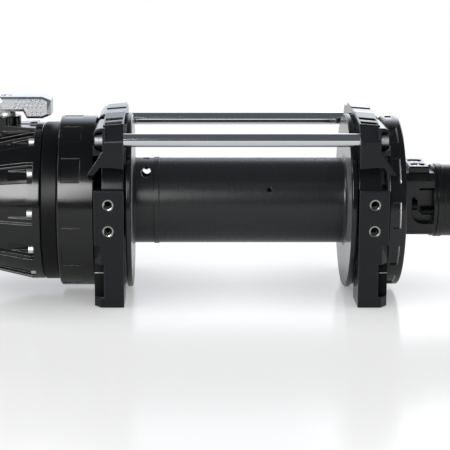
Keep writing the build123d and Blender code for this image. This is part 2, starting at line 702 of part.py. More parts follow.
# Plain ring plate between the housing and the end cover
with BuildPart() as ring_plate:
    with BuildSketch(section(COVER_IN_X)):
        Circle(RING_PLATE_R)
        Circle(SUN_SHAFT_R + SIDE_GAP, mode=Mode.SUBTRACT)
        with PolarLocations(SCREW_CIRCLE_R, PANEL_COUNT):
            Circle(SCREW_R + HOLE_GAP, mode=Mode.SUBTRACT)
    extrude(amount=RING_PLATE_WIDTH)
    chamfer(ring_plate.edges().filter_by(lambda edge: edge.length > 2 * pi * SCREW_CIRCLE_R), CORNER_CHAMFER)
save(ring_plate, "ring_plate")

# Tapered end cover with a screw channel between each pair of lands
TAPER = tan(radians(COVER_TAPER_ANGLE))
CONE_START_X = COVER_IN_X - COVER_STRAIGHT
CONE_END_X = COVER_END_X + COVER_ROUND
CONE_END_R = COVER_R - (CONE_START_X - CONE_END_X) * TAPER
FLOOR_END_X = CONE_END_X + COVER_ROUND
FLOOR_END_R = COVER_R - CHANNEL_DEPTH - (CONE_START_X - FLOOR_END_X) * TAPER
with BuildPart() as gear_end_cover:
    with BuildSketch(AXIAL):
        with BuildLine():
            Polyline(
                (CAVITY_END_X, 0),
                (CAVITY_END_X, INPUT_RING_R + RUN_GAP),
                (COVER_IN_X, INPUT_RING_R + RUN_GAP),
                (COVER_IN_X, COVER_R - COVER_CHAMFER),
                (COVER_IN_X - COVER_CHAMFER, COVER_R),
                (CONE_START_X, COVER_R),
                (CONE_END_X, CONE_END_R),
            )
            shoulder = RadiusArc(
                (CONE_END_X, CONE_END_R), (COVER_END_X, CONE_END_R - COVER_ROUND), -COVER_SHOULDER_R
            )
            Polyline(shoulder @ 1, (COVER_END_X, 0), (CAVITY_END_X, 0))
        make_face()
    revolve(axis=DRUM_AXIS)
    for angle in SCREW_ANGLES:
        with BuildSketch(spoke(angle - CHANNEL_ANGLE / 2)):
            with BuildLine():
                Polyline(
                    (COVER_SEAT_X, COVER_R - CHANNEL_DEPTH),
                    (COVER_SEAT_X, COVER_R + CHANNEL_DEPTH),
                    (CONE_END_X, COVER_R + CHANNEL_DEPTH),
                    (CONE_END_X, CONE_END_R + CHANNEL_DEPTH),
                    (FLOOR_END_X, FLOOR_END_R),
                    (CONE_START_X, COVER_R - CHANNEL_DEPTH),
                    close=True,
                )
            make_face()
        revolve(axis=DRUM_AXIS, revolution_arc=CHANNEL_ANGLE, mode=Mode.SUBTRACT)
    # Saddle under the clutch boss, flaring towards the flange
    with BuildSketch(level(INPUT_RING_R + SIDE_GAP)):
        with BuildLine():
            Polyline(
                (CLUTCH_X, -CLUTCH_BOSS_R),
                (COVER_SEAT_X, -SADDLE_HALF_Y),
                (COVER_SEAT_X, SADDLE_HALF_Y),
                (CLUTCH_X, CLUTCH_BOSS_R),
                close=True,
            )
        make_face()
    extrude(amount=SADDLE_TOP_Z - INPUT_RING_R - SIDE_GAP)
    # Straight slots that let the screws in
    slot_floor = SCREW_CIRCLE_R - SCREW_HEAD_R - HOLE_GAP
    with BuildSketch(section(COVER_SEAT_X)):
        with PolarLocations(slot_floor, PANEL_COUNT):
            Rectangle(COVER_R - slot_floor + CHANNEL_DEPTH, SLOT_WIDTH, align=(Align.MIN, Align.CENTER))
    extrude(amount=-SLOT_LENGTH, mode=Mode.SUBTRACT)
    with BuildSketch(section(COVER_SEAT_X)):
        with PolarLocations(SCREW_CIRCLE_R, PANEL_COUNT):
            Circle(SCREW_R + HOLE_GAP)
    extrude(amount=COVER_FLANGE_WIDTH, mode=Mode.SUBTRACT)
    # Boss on top for the clutch spindle and its pin
    with BuildSketch(level(INPUT_RING_R + SIDE_GAP)):
        with Locations((CLUTCH_X, 0)):
            Circle(CLUTCH_BOSS_R)
    extrude(amount=CLUTCH_BOSS_TOP - INPUT_RING_R - SIDE_GAP)
    with BuildSketch(level(SADDLE_TOP_Z)):
        with Locations((CLUTCH_X, 0)):
            with PolarLocations(CLUTCH_BOSS_R, FLUTE_COUNT):
                Circle(FLUTE_R)
    extrude(amount=CLUTCH_BOSS_TOP - CLUTCH_BOSS_RIM - SADDLE_TOP_Z, mode=Mode.SUBTRACT)
    with BuildSketch(level(CLUTCH_BOSS_TOP)):
        with Locations((CLUTCH_X, 0)):
            Circle(SPINDLE_R + RUN_GAP)
    extrude(amount=-SPINDLE_LENGTH, mode=Mode.SUBTRACT)
    with BuildSketch(level(CLUTCH_BOSS_TOP)):
        with Locations((CLUTCH_X, 0)):
            Circle(CLUTCH_PIN_R + RUN_GAP)
    extrude(amount=INPUT_RING_R - CLUTCH_PIN_DEPTH - CLUTCH_BOSS_TOP, mode=Mode.SUBTRACT)
    # Bearing for the end of the drive shaft
    with BuildSketch(section(CAVITY_END_X)):
        Circle(SHAFT_R + RUN_GAP)
    extrude(amount=-SHAFT_BEARING, mode=Mode.SUBTRACT)
save(gear_end_cover, "gear_end_cover")

with BuildPart() as cover_screws:
    with BuildSketch(section(COVER_SEAT_X)):
        with PolarLocations(SCREW_CIRCLE_R, PANEL_COUNT):
            Circle(SCREW_R)
    extrude(amount=COVER_FLANGE_WIDTH + RING_PLATE_WIDTH + SCREW_DEPTH)
    with BuildSketch(section(COVER_SEAT_X)):
        with PolarLocations(SCREW_CIRCLE_R, PANEL_COUNT):
            Circle(SCREW_HEAD_R)
    extrude(amount=-SCREW_HEAD_LENGTH)
    with BuildSketch(section(COVER_SEAT_X - SCREW_HEAD_LENGTH)):
        with PolarLocations(SCREW_CIRCLE_R, PANEL_COUNT):
            RegularPolygon(SCREW_SOCKET_R, 6)
    extrude(amount=SCREW_HEAD_LENGTH / 2, mode=Mode.SUBTRACT)
save(cover_screws, "cover_screws")

# Ring gear of the first stage, held by the clutch pin in one of its notches
with BuildPart() as clutch_ring_gear:
    with BuildSketch(section(CLUTCH_RING_END_X)):
        Circle(INPUT_RING_R)
        with BuildLine():
            Polyline(*ring_outline(RING_TEETH, INPUT_MODULE), close=True)
        make_face(mode=Mode.SUBTRACT)
    extrude(amount=INPUT_PLATE_X - CARRIER_WIDTH - CLUTCH_RING_END_X)
    for index in range(NOTCH_COUNT):
        turn = radians(index * 360 / NOTCH_COUNT)
        notch_plane = Plane(
            (CLUTCH_X, INPUT_RING_R * sin(turn), AXIS_HEIGHT + INPUT_RING_R * cos(turn)),
            x_dir=(1, 0, 0),
            z_dir=(0, sin(turn), cos(turn)),
        )
        with BuildSketch(notch_plane):
            Circle(CLUTCH_PIN_R + HOLE_GAP)
        extrude(amount=-CLUTCH_PIN_DEPTH - HOLE_GAP, mode=Mode.SUBTRACT)
save(clutch_ring_gear, "clutch_ring_gear")

# Planet carriers: the output one drives the drum, the input one carries the output sun
with BuildPart() as output_carrier:
    with BuildSketch(section(OUTPUT_PLATE_X - CARRIER_WIDTH)):
        Circle(OUTPUT_CARRIER_R)
    extrude(amount=CARRIER_WIDTH)
    with BuildSketch(section(OUTPUT_PLATE_X)):
        RegularPolygon(SPLINE_R, 6)
    extrude(amount=SPLINE_LENGTH)
    with BuildSketch(section(OUTPUT_PLATE_X - CARRIER_WIDTH)):
        Circle(SHAFT_R + SIDE_GAP)
        with PolarLocations(centre_distance(OUTPUT_MODULE), PLANET_COUNT):
            Circle(PLANET_PIN_R + FIT_GAP)
    extrude(amount=CARRIER_WIDTH + SPLINE_LENGTH, mode=Mode.SUBTRACT)
save(output_carrier, "output_carrier")

with BuildPart() as input_carrier:
    with BuildSketch(section(INPUT_PLATE_X - CARRIER_WIDTH)):
        Circle(INPUT_CARRIER_R)
        Circle(SUN_SHAFT_R + FIT_GAP, mode=Mode.SUBTRACT)
        with PolarLocations(centre_distance(INPUT_MODULE), PLANET_COUNT):
            Circle(PLANET_PIN_R + FIT_GAP, mode=Mode.SUBTRACT)
    extrude(amount=CARRIER_WIDTH)
save(input_carrier, "input_carrier")

# Planets on their headed pins, and the sun that each stage turns on
for stage, module, plate_x, gear_x, face in (
    ("output", OUTPUT_MODULE, OUTPUT_PLATE_X, OUTPUT_GEAR_X, OUTPUT_FACE),
    ("input", INPUT_MODULE, INPUT_PLATE_X, INPUT_GEAR_X, INPUT_FACE),
):
    planet_circle = centre_distance(module)
    gear_end_x = gear_x - face
    with BuildPart() as planet_pins:
        with BuildSketch(section(plate_x)):
            with PolarLocations(planet_circle, PLANET_COUNT):
                Circle(PLANET_PIN_R)
        extrude(amount=gear_end_x - HOLE_GAP - plate_x)
        with BuildSketch(section(gear_end_x - HOLE_GAP)):
            with PolarLocations(planet_circle, PLANET_COUNT):
                Circle(PLANET_PIN_R + PIN_HEAD)
        extrude(amount=-PIN_HEAD)
    save(planet_pins, f"{stage}_planet_pins")
    for index in range(PLANET_COUNT):
        turn = index * 360 / PLANET_COUNT
        place = Location(
            (planet_circle * cos(radians(turn)), planet_circle * sin(radians(turn)), 0), (0, 0, turn)
        )
        with BuildPart() as planet_gear:
            with BuildSketch(section(gear_end_x)):
                with Locations(place):
                    Polygon(*gear_outline(PLANET_TEETH, module), align=None)
                    Circle(PLANET_PIN_R + RUN_GAP, mode=Mode.SUBTRACT)
            extrude(amount=face)
        save(planet_gear, f"{stage}_planet_{index + 1}")

with BuildPart() as output_sun_gear:
    with BuildSketch(section(OUTPUT_GEAR_X)):
        Polygon(*gear_outline(SUN_TEETH, OUTPUT_MODULE), align=None)
    extrude(amount=-OUTPUT_FACE)
    with BuildSketch(section(OUTPUT_GEAR_X - OUTPUT_FACE)):
        Circle(SUN_SHAFT_R)
    extrude(amount=INPUT_PLATE_X - CARRIER_WIDTH - OUTPUT_GEAR_X + OUTPUT_FACE)
    with BuildSketch(section(OUTPUT_GEAR_X)):
        Circle(SHAFT_R + HOLE_GAP)
    extrude(amount=INPUT_PLATE_X - CARRIER_WIDTH - OUTPUT_GEAR_X, mode=Mode.SUBTRACT)
save(output_sun_gear, "output_sun_gear")

with BuildPart() as input_sun_gear:
    with BuildSketch(section(INPUT_GEAR_X)):
        Polygon(*gear_outline(SUN_TEETH, INPUT_MODULE), align=None)
        Circle(SHAFT_R + FIT_GAP, mode=Mode.SUBTRACT)
    extrude(amount=-INPUT_FACE)
save(input_sun_gear, "input_sun_gear")

# Drive shaft through the drum, coupled to the motor shaft
COUPLING_X = BLOCK_OUTER_X + SIDE_GAP
DRIVE_END_X = COUPLING_X - COUPLING_LENGTH / 2
with BuildPart() as drive_shaft:
    with BuildSketch(section(CAVITY_END_X - SHAFT_BEARING + HOLE_GAP)):
        Circle(SHAFT_R)
    extrude(amount=DRIVE_END_X - CAVITY_END_X + SHAFT_BEARING - HOLE_GAP)
save(drive_shaft, "drive_shaft")

with BuildPart() as shaft_coupling:
    with BuildSketch(section(COUPLING_X)):
        Circle(COUPLING_R)
        Circle(SHAFT_R + FIT_GAP, mode=Mode.SUBTRACT)
    extrude(amount=-COUPLING_LENGTH)
save(shaft_coupling, "shaft_coupling")

with BuildPart() as motor_shaft:
    with BuildSketch(section(DRIVE_END_X)):
        Circle(SHAFT_R)
    extrude(amount=DISC_OUT_X + MOTOR_SHAFT_DEPTH - DRIVE_END_X)
save(motor_shaft, "motor_shaft")

# Clutch pin, washer, lever and lever screw, all on the vertical clutch axis
CLUTCH_PIN_TOP_Z = CLUTCH_BOSS_TOP - SPINDLE_LENGTH - CLUTCH_LIFT
with BuildPart() as clutch_pin:
    with BuildSketch(level(INPUT_RING_R - CLUTCH_PIN_DEPTH)):
        with Locations((CLUTCH_X, 0)):
            Circle(CLUTCH_PIN_R)
    extrude(amount=CLUTCH_PIN_TOP_Z - INPUT_RING_R + CLUTCH_PIN_DEPTH - HOLE_GAP)
save(clutch_pin, "clutch_pin")

with BuildPart() as lever_washer:
    with BuildSketch(level(CLUTCH_BOSS_TOP)):
        with Locations((CLUTCH_X, 0)):
            Circle(WASHER_R)
            Circle(SPINDLE_R + RUN_GAP, mode=Mode.SUBTRACT)
    extrude(amount=WASHER_THICKNESS)
save(lever_washer, "lever_washer")

LEVER_TIP_X = CLUTCH_X + LEVER_REACH
with BuildPart() as clutch_lever:
    # Side outline with its dropped fingertip end, edged all round, then the plan outline with a round tail
    with BuildSketch(front_view(LEVER_WIDTH / 2)):
        with BuildLine():
            Polyline(
                (CLUTCH_X - LEVER_TAIL, LEVER_UNDER_Z),
                (CLUTCH_X - LEVER_TAIL, LEVER_TOP_Z),
                (LEVER_TIP_X - LEVER_SLOPE_X, LEVER_TOP_Z),
                (LEVER_TIP_X, LEVER_TOP_Z - LEVER_SLOPE_Z),
                (LEVER_TIP_X, LEVER_DROP_Z + LEVER_SLOPE_Z),
                (LEVER_TIP_X - LEVER_SLOPE_X, LEVER_DROP_Z),
                (LEVER_TIP_X - LEVER_DROP_LENGTH, LEVER_DROP_Z),
                (LEVER_TIP_X - LEVER_DROP_LENGTH - LEVER_SLOPE_Z, LEVER_UNDER_Z),
                close=True,
            )
        make_face()
    extrude(amount=LEVER_WIDTH)
    lever_sides = clutch_lever.faces().sort_by(Axis.Y)
    chamfer(lever_sides[0].edges() + lever_sides[-1].edges(), LEVER_EDGE)
    with BuildSketch(level(LEVER_DROP_Z)) as lever_plan:
        with Locations((CLUTCH_X - LEVER_TAIL, 0)):
            Rectangle(LEVER_TAIL + LEVER_REACH, LEVER_WIDTH, align=(Align.MIN, Align.CENTER))
        fillet(lever_plan.vertices().group_by(Axis.X)[0], LEVER_WIDTH / 2 - CORNER_CHAMFER)
        chamfer(lever_plan.vertices().group_by(Axis.X)[-1], LEVER_CORNER)
    extrude(amount=LEVER_TOP_Z - LEVER_DROP_Z, mode=Mode.INTERSECT)
    # Hub and spindle under the lever
    with BuildSketch(level(CLUTCH_BOSS_TOP + WASHER_THICKNESS)):
        with Locations((CLUTCH_X, 0)):
            Circle(WASHER_R)
    extrude(amount=LEVER_UNDER_Z - CLUTCH_BOSS_TOP - WASHER_THICKNESS)
    with BuildSketch(level(LEVER_UNDER_Z)):
        with Locations((CLUTCH_X, 0)):
            Circle(SPINDLE_R)
    extrude(amount=CLUTCH_BOSS_TOP - SPINDLE_LENGTH + HOLE_GAP - LEVER_UNDER_Z)
    with BuildSketch(level(LEVER_TOP_Z)):
        with Locations((CLUTCH_X, 0)):
            Circle(LEVER_SCREW_HEAD_R + HOLE_GAP)
    extrude(amount=-LEVER_SCREW_HEAD, mode=Mode.SUBTRACT)
    with BuildSketch(level(LEVER_TOP_Z)):
        with Locations((CLUTCH_X, 0)):
            Circle(LEVER_SCREW_R + FIT_GAP)
    extrude(amount=-LEVER_SCREW_LENGTH, mode=Mode.SUBTRACT)
save(clutch_lever, "clutch_lever")

with BuildPart() as lever_screw:
    with BuildSketch(level(LEVER_TOP_Z - LEVER_SCREW_HEAD)):
        with Locations((CLUTCH_X, 0)):
            Circle(LEVER_SCREW_HEAD_R)
    extrude(amount=LEVER_SCREW_HEAD - HOLE_GAP)
    with BuildSketch(level(LEVER_TOP_Z - LEVER_SCREW_HEAD)):
        with Locations((CLUTCH_X, 0)):
            Circle(LEVER_SCREW_R)
    extrude(amount=LEVER_SCREW_HEAD - LEVER_SCREW_LENGTH + HOLE_GAP)
    with BuildSketch(level(LEVER_TOP_Z)):
        with Locations((CLUTCH_X, 0)):
            RegularPolygon(LEVER_SCREW_R, 6)
    extrude(amount=-LEVER_SCREW_HEAD / 2, mode=Mode.SUBTRACT)
save(lever_screw, "lever_screw")

# Motor flange disc with its panelled rim and spigot
with BuildPart() as motor_flange:
    with BuildSketch(AXIAL):
        with BuildLine():
            Polyline(
                (BLOCK_OUTER_X, SPIGOT_R),
                (BLOCK_OUTER_X, DISC_R),
                (DISC_OUT_X, DISC_R),
                (DISC_OUT_X, MOTOR_PILOT_R + FIT_GAP),
                (DISC_OUT_X - MOTOR_PILOT_LENGTH - HOLE_GAP, MOTOR_PILOT_R + FIT_GAP),
                (DISC_OUT_X - MOTOR_PILOT_LENGTH - HOLE_GAP, COUPLING_R + SIDE_GAP),
                (WEB_OUTER_X, COUPLING_R + SIDE_GAP),
                (WEB_OUTER_X, SPIGOT_R),
                close=True,
            )
        make_face()
    revolve(axis=DRUM_AXIS)
    disc_rims = motor_flange.edges().filter_by(lambda edge: abs(edge.length - 2 * pi * DISC_R) < RUN_GAP)
    chamfer(disc_rims, CORNER_CHAMFER)
    panel_end_x = DISC_OUT_X - DISC_PANEL_LIP
    cut_rim_panels(panel_end_x - DISC_PANEL_WIDTH, panel_end_x, DISC_R, DISC_PANEL_DEPTH)
    with BuildSketch(section(DISC_OUT_X)):
        with PolarLocations(FLANGE_SCREW_CIRCLE_R, FLANGE_SCREW_COUNT, start_angle=FLANGE_SCREW_ANGLE):
            Circle(FLANGE_HEAD_R + HOLE_GAP)
    extrude(amount=-FLANGE_HEAD_LENGTH, mode=Mode.SUBTRACT)
    with BuildSketch(section(DISC_OUT_X)):
        with PolarLocations(FLANGE_SCREW_CIRCLE_R, FLANGE_SCREW_COUNT, start_angle=FLANGE_SCREW_ANGLE):
            Circle(FLANGE_SCREW_R + HOLE_GAP)
        with GridLocations(2 * MOUNT_SCREW_Y, 1, 2, 1):
            Circle(MOUNT_SCREW_R + FIT_GAP)
    extrude(amount=-DISC_WIDTH - BLOCK_WIDTH, mode=Mode.SUBTRACT)
save(motor_flange, "motor_flange")

with BuildPart() as motor_flange_screws:
    with BuildSketch(section(DISC_OUT_X - FLANGE_HEAD_LENGTH)):
        with PolarLocations(FLANGE_SCREW_CIRCLE_R, FLANGE_SCREW_COUNT, start_angle=FLANGE_SCREW_ANGLE):
            Circle(FLANGE_HEAD_R)
            RegularPolygon(FLANGE_SCREW_R - HOLE_GAP, 6, mode=Mode.SUBTRACT)
    extrude(amount=FLANGE_HEAD_LENGTH)
    with BuildSketch(section(DISC_OUT_X - FLANGE_HEAD_LENGTH / 2)):
        with PolarLocations(FLANGE_SCREW_CIRCLE_R, FLANGE_SCREW_COUNT, start_angle=FLANGE_SCREW_ANGLE):
            Circle(FLANGE_SCREW_R)
    extrude(amount=WEB_OUTER_X - DISC_OUT_X + FLANGE_HEAD_LENGTH / 2)
save(motor_flange_screws, "motor_flange_screws")

# Motor port housing: a rounded block with a port boss on top and a screw pocket in each side
with BuildPart() as motor_port_housing:
    with BuildSketch(section(DISC_OUT_X)):
        with Locations((0, (MOTOR_TOP_Z + MOTOR_BOTTOM_Z) / 2)):
            RectangleRounded(2 * MOTOR_HALF_Y, MOTOR_TOP_Z - MOTOR_BOTTOM_Z, MOTOR_ROUND)
    extrude(amount=MOTOR_LENGTH)
    with BuildSketch(section(MOTOR_END_X - PORT_BOSS_INSET)):
        with Locations((0, MOTOR_TOP_Z - MOTOR_ROUND)):
            Rectangle(PORT_BOSS_DEPTH, MOTOR_ROUND + PORT_BOSS_RISE, align=(Align.CENTER, Align.MIN))
    extrude(amount=-PORT_BOSS_LENGTH)
    boss_top = motor_port_housing.faces().sort_by(Axis.Z)[-1]
    chamfer(boss_top.edges(), CORNER_CHAMFER)
    with BuildSketch(section(DISC_OUT_X)):
        Circle(MOTOR_PILOT_R)
    extrude(amount=-MOTOR_PILOT_LENGTH)
    port_x = MOTOR_END_X - PORT_BOSS_INSET - PORT_BOSS_LENGTH / 2
    with BuildSketch(level(MOTOR_TOP_Z + PORT_BOSS_RISE)):
        with Locations((port_x, 0)):
            with GridLocations(1, PORT_PATTERN_WIDTH, 1, 2):
                Circle(PORT_R)
    extrude(amount=-PORT_DEPTH, mode=Mode.SUBTRACT)
    for side in (-1, 1):
        with BuildSketch(front_view(side * MOTOR_HALF_Y)) as side_pocket:
            with Locations((MOTOR_END_X, 0)):
                Rectangle(SIDE_POCKET_LENGTH, SIDE_POCKET_HEIGHT, align=(Align.MAX, Align.CENTER))
            fillet(side_pocket.vertices().group_by(Axis.X)[0], SIDE_POCKET_ROUND)
        extrude(amount=side * SIDE_POCKET_DEPTH, mode=Mode.SUBTRACT)
    with BuildSketch(section(DISC_OUT_X - MOTOR_PILOT_LENGTH)):
        with GridLocations(2 * MOUNT_SCREW_Y, 1, 2, 1):
            Circle(MOUNT_SCREW_R + HOLE_GAP)
    extrude(amount=MOTOR_PILOT_LENGTH + MOTOR_LENGTH, mode=Mode.SUBTRACT)
    with BuildSketch(section(DISC_OUT_X - MOTOR_PILOT_LENGTH)):
        Circle(SHAFT_R + RUN_GAP)
    extrude(amount=MOTOR_PILOT_LENGTH + MOTOR_SHAFT_DEPTH + HOLE_GAP, mode=Mode.SUBTRACT)
    with BuildSketch(section(MOTOR_END_X)):
        with PolarLocations(STACK_BOLT_CIRCLE_R, STACK_BOLT_COUNT, start_angle=STACK_BOLT_ANGLE):
            Circle(STACK_BOLT_R + FIT_GAP)
    extrude(amount=-STACK_BOLT_DEPTH - THREAD_RUNOUT, mode=Mode.SUBTRACT)
save(motor_port_housing, "motor_port_housing")

with BuildPart() as motor_mount_screws:
    with BuildSketch(section(MOTOR_END_X - SIDE_POCKET_LENGTH)):
        with GridLocations(2 * MOUNT_SCREW_Y, 1, 2, 1):
            Circle(MOUNT_HEAD_R)
    extrude(amount=MOUNT_HEAD_LENGTH)
    with BuildSketch(section(MOTOR_END_X - SIDE_POCKET_LENGTH)):
        with GridLocations(2 * MOUNT_SCREW_Y, 1, 2, 1):
            Circle(MOUNT_SCREW_R)
    extrude(amount=SIDE_POCKET_LENGTH - MOTOR_LENGTH - DISC_WIDTH)
    with BuildSketch(section(MOTOR_END_X - SIDE_POCKET_LENGTH + MOUNT_HEAD_LENGTH)):
        with GridLocations(2 * MOUNT_SCREW_Y, 1, 2, 1):
            RegularPolygon(MOUNT_SCREW_R - HOLE_GAP, 6)
    extrude(amount=-MOUNT_HEAD_LENGTH / 2, mode=Mode.SUBTRACT)
save(motor_mount_screws, "motor_mount_screws")

# Round plates stacked behind the port housing, each a little wider or narrower than its neighbour
stack_x = MOTOR_END_X
for name, width, radius in (
    ("motor_wear_plate", WEAR_PLATE_WIDTH, STACK_R - STACK_GROOVE),
    ("motor_spacer_plate", SPACER_WIDTH, STACK_R),
    ("motor_geroler_ring", GEROLER_WIDTH, STACK_R - STACK_GROOVE),
    ("motor_end_cover", END_COVER_WIDTH, STACK_R),
):
    with BuildPart() as stack_plate:
        with BuildSketch(section(stack_x)):
            Circle(radius)
        extrude(amount=width)
        outer_face = stack_plate.faces().sort_by(Axis.X)[-1]
        edge_size = END_COVER_CHAMFER if name == "motor_end_cover" else STACK_GROOVE / 2
        chamfer(outer_face.edges(), edge_size)
        with BuildSketch(section(stack_x)):
            with PolarLocations(STACK_BOLT_CIRCLE_R, STACK_BOLT_COUNT, start_angle=STACK_BOLT_ANGLE):
                Circle(STACK_BOLT_R + HOLE_GAP)
        extrude(amount=width, mode=Mode.SUBTRACT)
        if name == "motor_end_cover":
            with BuildSketch(section(stack_x + width)):
                with PolarLocations(STACK_BOLT_CIRCLE_R, STACK_BOLT_COUNT, start_angle=STACK_BOLT_ANGLE):
                    Circle(STACK_HEAD_R + HOLE_GAP)
            extrude(amount=-STACK_HEAD_LENGTH, mode=Mode.SUBTRACT)
    save(stack_plate, name)
    stack_x += width

with BuildPart() as motor_stack_bolts:
    with BuildSketch(section(stack_x - STACK_HEAD_LENGTH)):
        with PolarLocations(STACK_BOLT_CIRCLE_R, STACK_BOLT_COUNT, start_angle=STACK_BOLT_ANGLE):
            RegularPolygon(STACK_HEAD_R, 6)
    extrude(amount=STACK_HEAD_LENGTH)
    with BuildSketch(section(stack_x - STACK_HEAD_LENGTH)):
        with PolarLocations(STACK_BOLT_CIRCLE_R, STACK_BOLT_COUNT, start_angle=STACK_BOLT_ANGLE):
            Circle(STACK_BOLT_R)
    extrude(amount=MOTOR_END_X - STACK_BOLT_DEPTH - stack_x + STACK_HEAD_LENGTH)
save(motor_stack_bolts, "motor_stack_bolts")
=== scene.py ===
# %% [markdown]
# A hydraulic winch in a white studio.
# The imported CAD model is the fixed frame: every solid is already in its place, in metres, with the origin between
# the four foot bolts, +X along the drum towards the motor, -Y towards the rope side and +Z up.
# This lesson sets the camera and the light, makes the finishes, and adds the fine shapes that the solids leave out.

# %% Load the frame
import json
from math import cos, pi, radians, sin

import bmesh
import bpy
from mathutils import Matrix, Vector

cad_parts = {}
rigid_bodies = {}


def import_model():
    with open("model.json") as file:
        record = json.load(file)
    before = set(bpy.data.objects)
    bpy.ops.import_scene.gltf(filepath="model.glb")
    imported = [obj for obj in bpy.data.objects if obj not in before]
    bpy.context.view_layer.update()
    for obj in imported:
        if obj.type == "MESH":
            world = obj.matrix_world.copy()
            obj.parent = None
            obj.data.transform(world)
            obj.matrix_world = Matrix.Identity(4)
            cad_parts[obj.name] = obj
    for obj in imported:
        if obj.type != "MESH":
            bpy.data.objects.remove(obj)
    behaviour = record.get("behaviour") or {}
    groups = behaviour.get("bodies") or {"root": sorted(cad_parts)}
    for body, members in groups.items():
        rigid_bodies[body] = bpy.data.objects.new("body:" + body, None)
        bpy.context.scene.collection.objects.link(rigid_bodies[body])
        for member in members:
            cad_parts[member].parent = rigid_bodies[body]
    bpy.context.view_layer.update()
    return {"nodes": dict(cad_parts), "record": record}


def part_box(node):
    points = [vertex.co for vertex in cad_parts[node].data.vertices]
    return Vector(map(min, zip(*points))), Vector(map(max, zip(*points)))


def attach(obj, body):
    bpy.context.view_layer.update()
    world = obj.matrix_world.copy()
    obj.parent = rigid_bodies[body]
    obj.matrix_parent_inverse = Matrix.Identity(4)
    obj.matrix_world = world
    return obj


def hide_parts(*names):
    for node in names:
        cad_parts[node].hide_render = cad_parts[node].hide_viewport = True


for leftover in list(bpy.data.objects):
    bpy.data.objects.remove(leftover, do_unlink=True)
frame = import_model()
nodes = frame["nodes"]
MM = 0.001
AXIS_Z = 0.0889

# %% [markdown]
# The photograph is a long-lens product shot from straight in front, looking a little down.
# Its frame is cropped off centre, so the camera keeps square to the winch and the lens shift moves the picture,
# as a view camera would. That keeps the drum level and the supports upright.

# %% Camera
CAMERA_X = -0.0568
CAMERA_PITCH = radians(10.5)
CAMERA_DISTANCE = 1.638
PICTURE_WIDTH = 0.4512
PICTURE_PIXELS = 450
AXIS_PIXEL = (181.7, 199.8)
SENSOR_MM = 36.0
lens = bpy.data.cameras.new("product_lens")
lens.sensor_width = SENSOR_MM
lens.lens = lens.sensor_width * CAMERA_DISTANCE / PICTURE_WIDTH
lens.shift_x = (PICTURE_PIXELS / 2 - AXIS_PIXEL[0]) / PICTURE_PIXELS
lens.shift_y = (AXIS_PIXEL[1] - PICTURE_PIXELS / 2) / PICTURE_PIXELS
camera = bpy.data.objects.new("product_camera", lens)
bpy.context.scene.collection.objects.link(camera)
camera.location = (
    CAMERA_X,
    -CAMERA_DISTANCE * cos(CAMERA_PITCH),
    AXIS_Z + CAMERA_DISTANCE * sin(CAMERA_PITCH),
)
camera.rotation_euler = (pi / 2 - CAMERA_PITCH, 0, 0)
bpy.context.scene.camera = camera
bpy.context.scene.view_settings.view_transform = "Standard"
print("lens mm", round(lens.lens, 1), "shift", round(lens.shift_x, 4), round(lens.shift_y, 4))

# %% [markdown]
# Every finish is a small node tree. Three helpers keep them short: one turns an sRGB hex colour to the linear values
# that shaders use, one adds a node with its settings and the links into it, and one starts an empty material.

# %% Helpers for colours and nodes
def linear(code):
    """Linear RGBA from an sRGB hex code."""
    channels = [int(code[place:place + 2], 16) / 255 for place in (1, 3, 5)]
    return tuple(c / 12.92 if c <= 0.04045 else ((c + 0.055) / 1.055) ** 2.4 for c in channels) + (1.0,)


def add(tree, kind, settings=None, **inputs):
    """A node of a kind, with its own settings, and values or links for its named inputs."""
    node = tree.nodes.new(kind)
    for key, value in (settings or {}).items():
        setattr(node, key, value)
    for key, value in inputs.items():
        socket = node.inputs[int(key[1:])] if key[0] == "_" else node.inputs[key.replace("_", " ")]
        if isinstance(value, bpy.types.NodeSocket):
            tree.links.new(value, socket)
        else:
            socket.default_value = value
    return node


def new_material(name):
    """An empty material and its node tree."""
    material = bpy.data.materials.new(name)
    material.use_nodes = True
    material.node_tree.nodes.clear()
    return material, material.node_tree


# %% [markdown]
# The studio has a white sweep behind, beside and under the winch, and it is dark overhead and in front, round the
# camera. Black gloss shows that: edges and tops that look at the sweep turn pale, and faces that look at the dark
# room stay black. The world is white to the camera. To reflections it is bright and a little blue low down behind,
# weaker at the sides, and fades upwards.

# %% World
SWEEP_TOP = 0.68
SWEEP_FOOT = 0.90
SWEEP_BRIGHT = 1.8
SIDE_SHARE = 0.74
ROOM_DARK = 0.15
AMBIENT = 0.3
SWEEP_TINT = "#e1e8f0"
WHITE = "#ffffff"
world = bpy.data.worlds.new("white_sweep")
bpy.context.scene.world = world
world.use_nodes = True
tree = world.node_tree
tree.nodes.clear()
rays = add(tree, "ShaderNodeLightPath")
direction = add(tree, "ShaderNodeTexCoord")
parts = add(tree, "ShaderNodeSeparateXYZ", Vector=direction.outputs["Generated"])
sideways = add(tree, "ShaderNodeMath", {"operation": "ABSOLUTE"}, _0=parts.outputs["X"])
beside = add(tree, "ShaderNodeMath", {"operation": "MULTIPLY"}, _0=sideways.outputs[0], _1=SIDE_SHARE)
around = add(tree, "ShaderNodeMath", {"operation": "MAXIMUM"}, _0=parts.outputs["Y"], _1=beside.outputs[0])
sweep = add(tree, "ShaderNodeMapRange", {"interpolation_type": "SMOOTHSTEP"}, Value=around.outputs[0],
            From_Min=SWEEP_TOP, From_Max=SWEEP_FOOT, To_Min=ROOM_DARK, To_Max=SWEEP_BRIGHT)
mirror_rays = add(tree, "ShaderNodeMath", {"operation": "MAXIMUM"},
                  _0=rays.outputs["Is Glossy Ray"], _1=rays.outputs["Is Transmission Ray"])
seen = add(tree, "ShaderNodeMix", Factor=mirror_rays.outputs[0], _2=AMBIENT, _3=sweep.outputs[0])
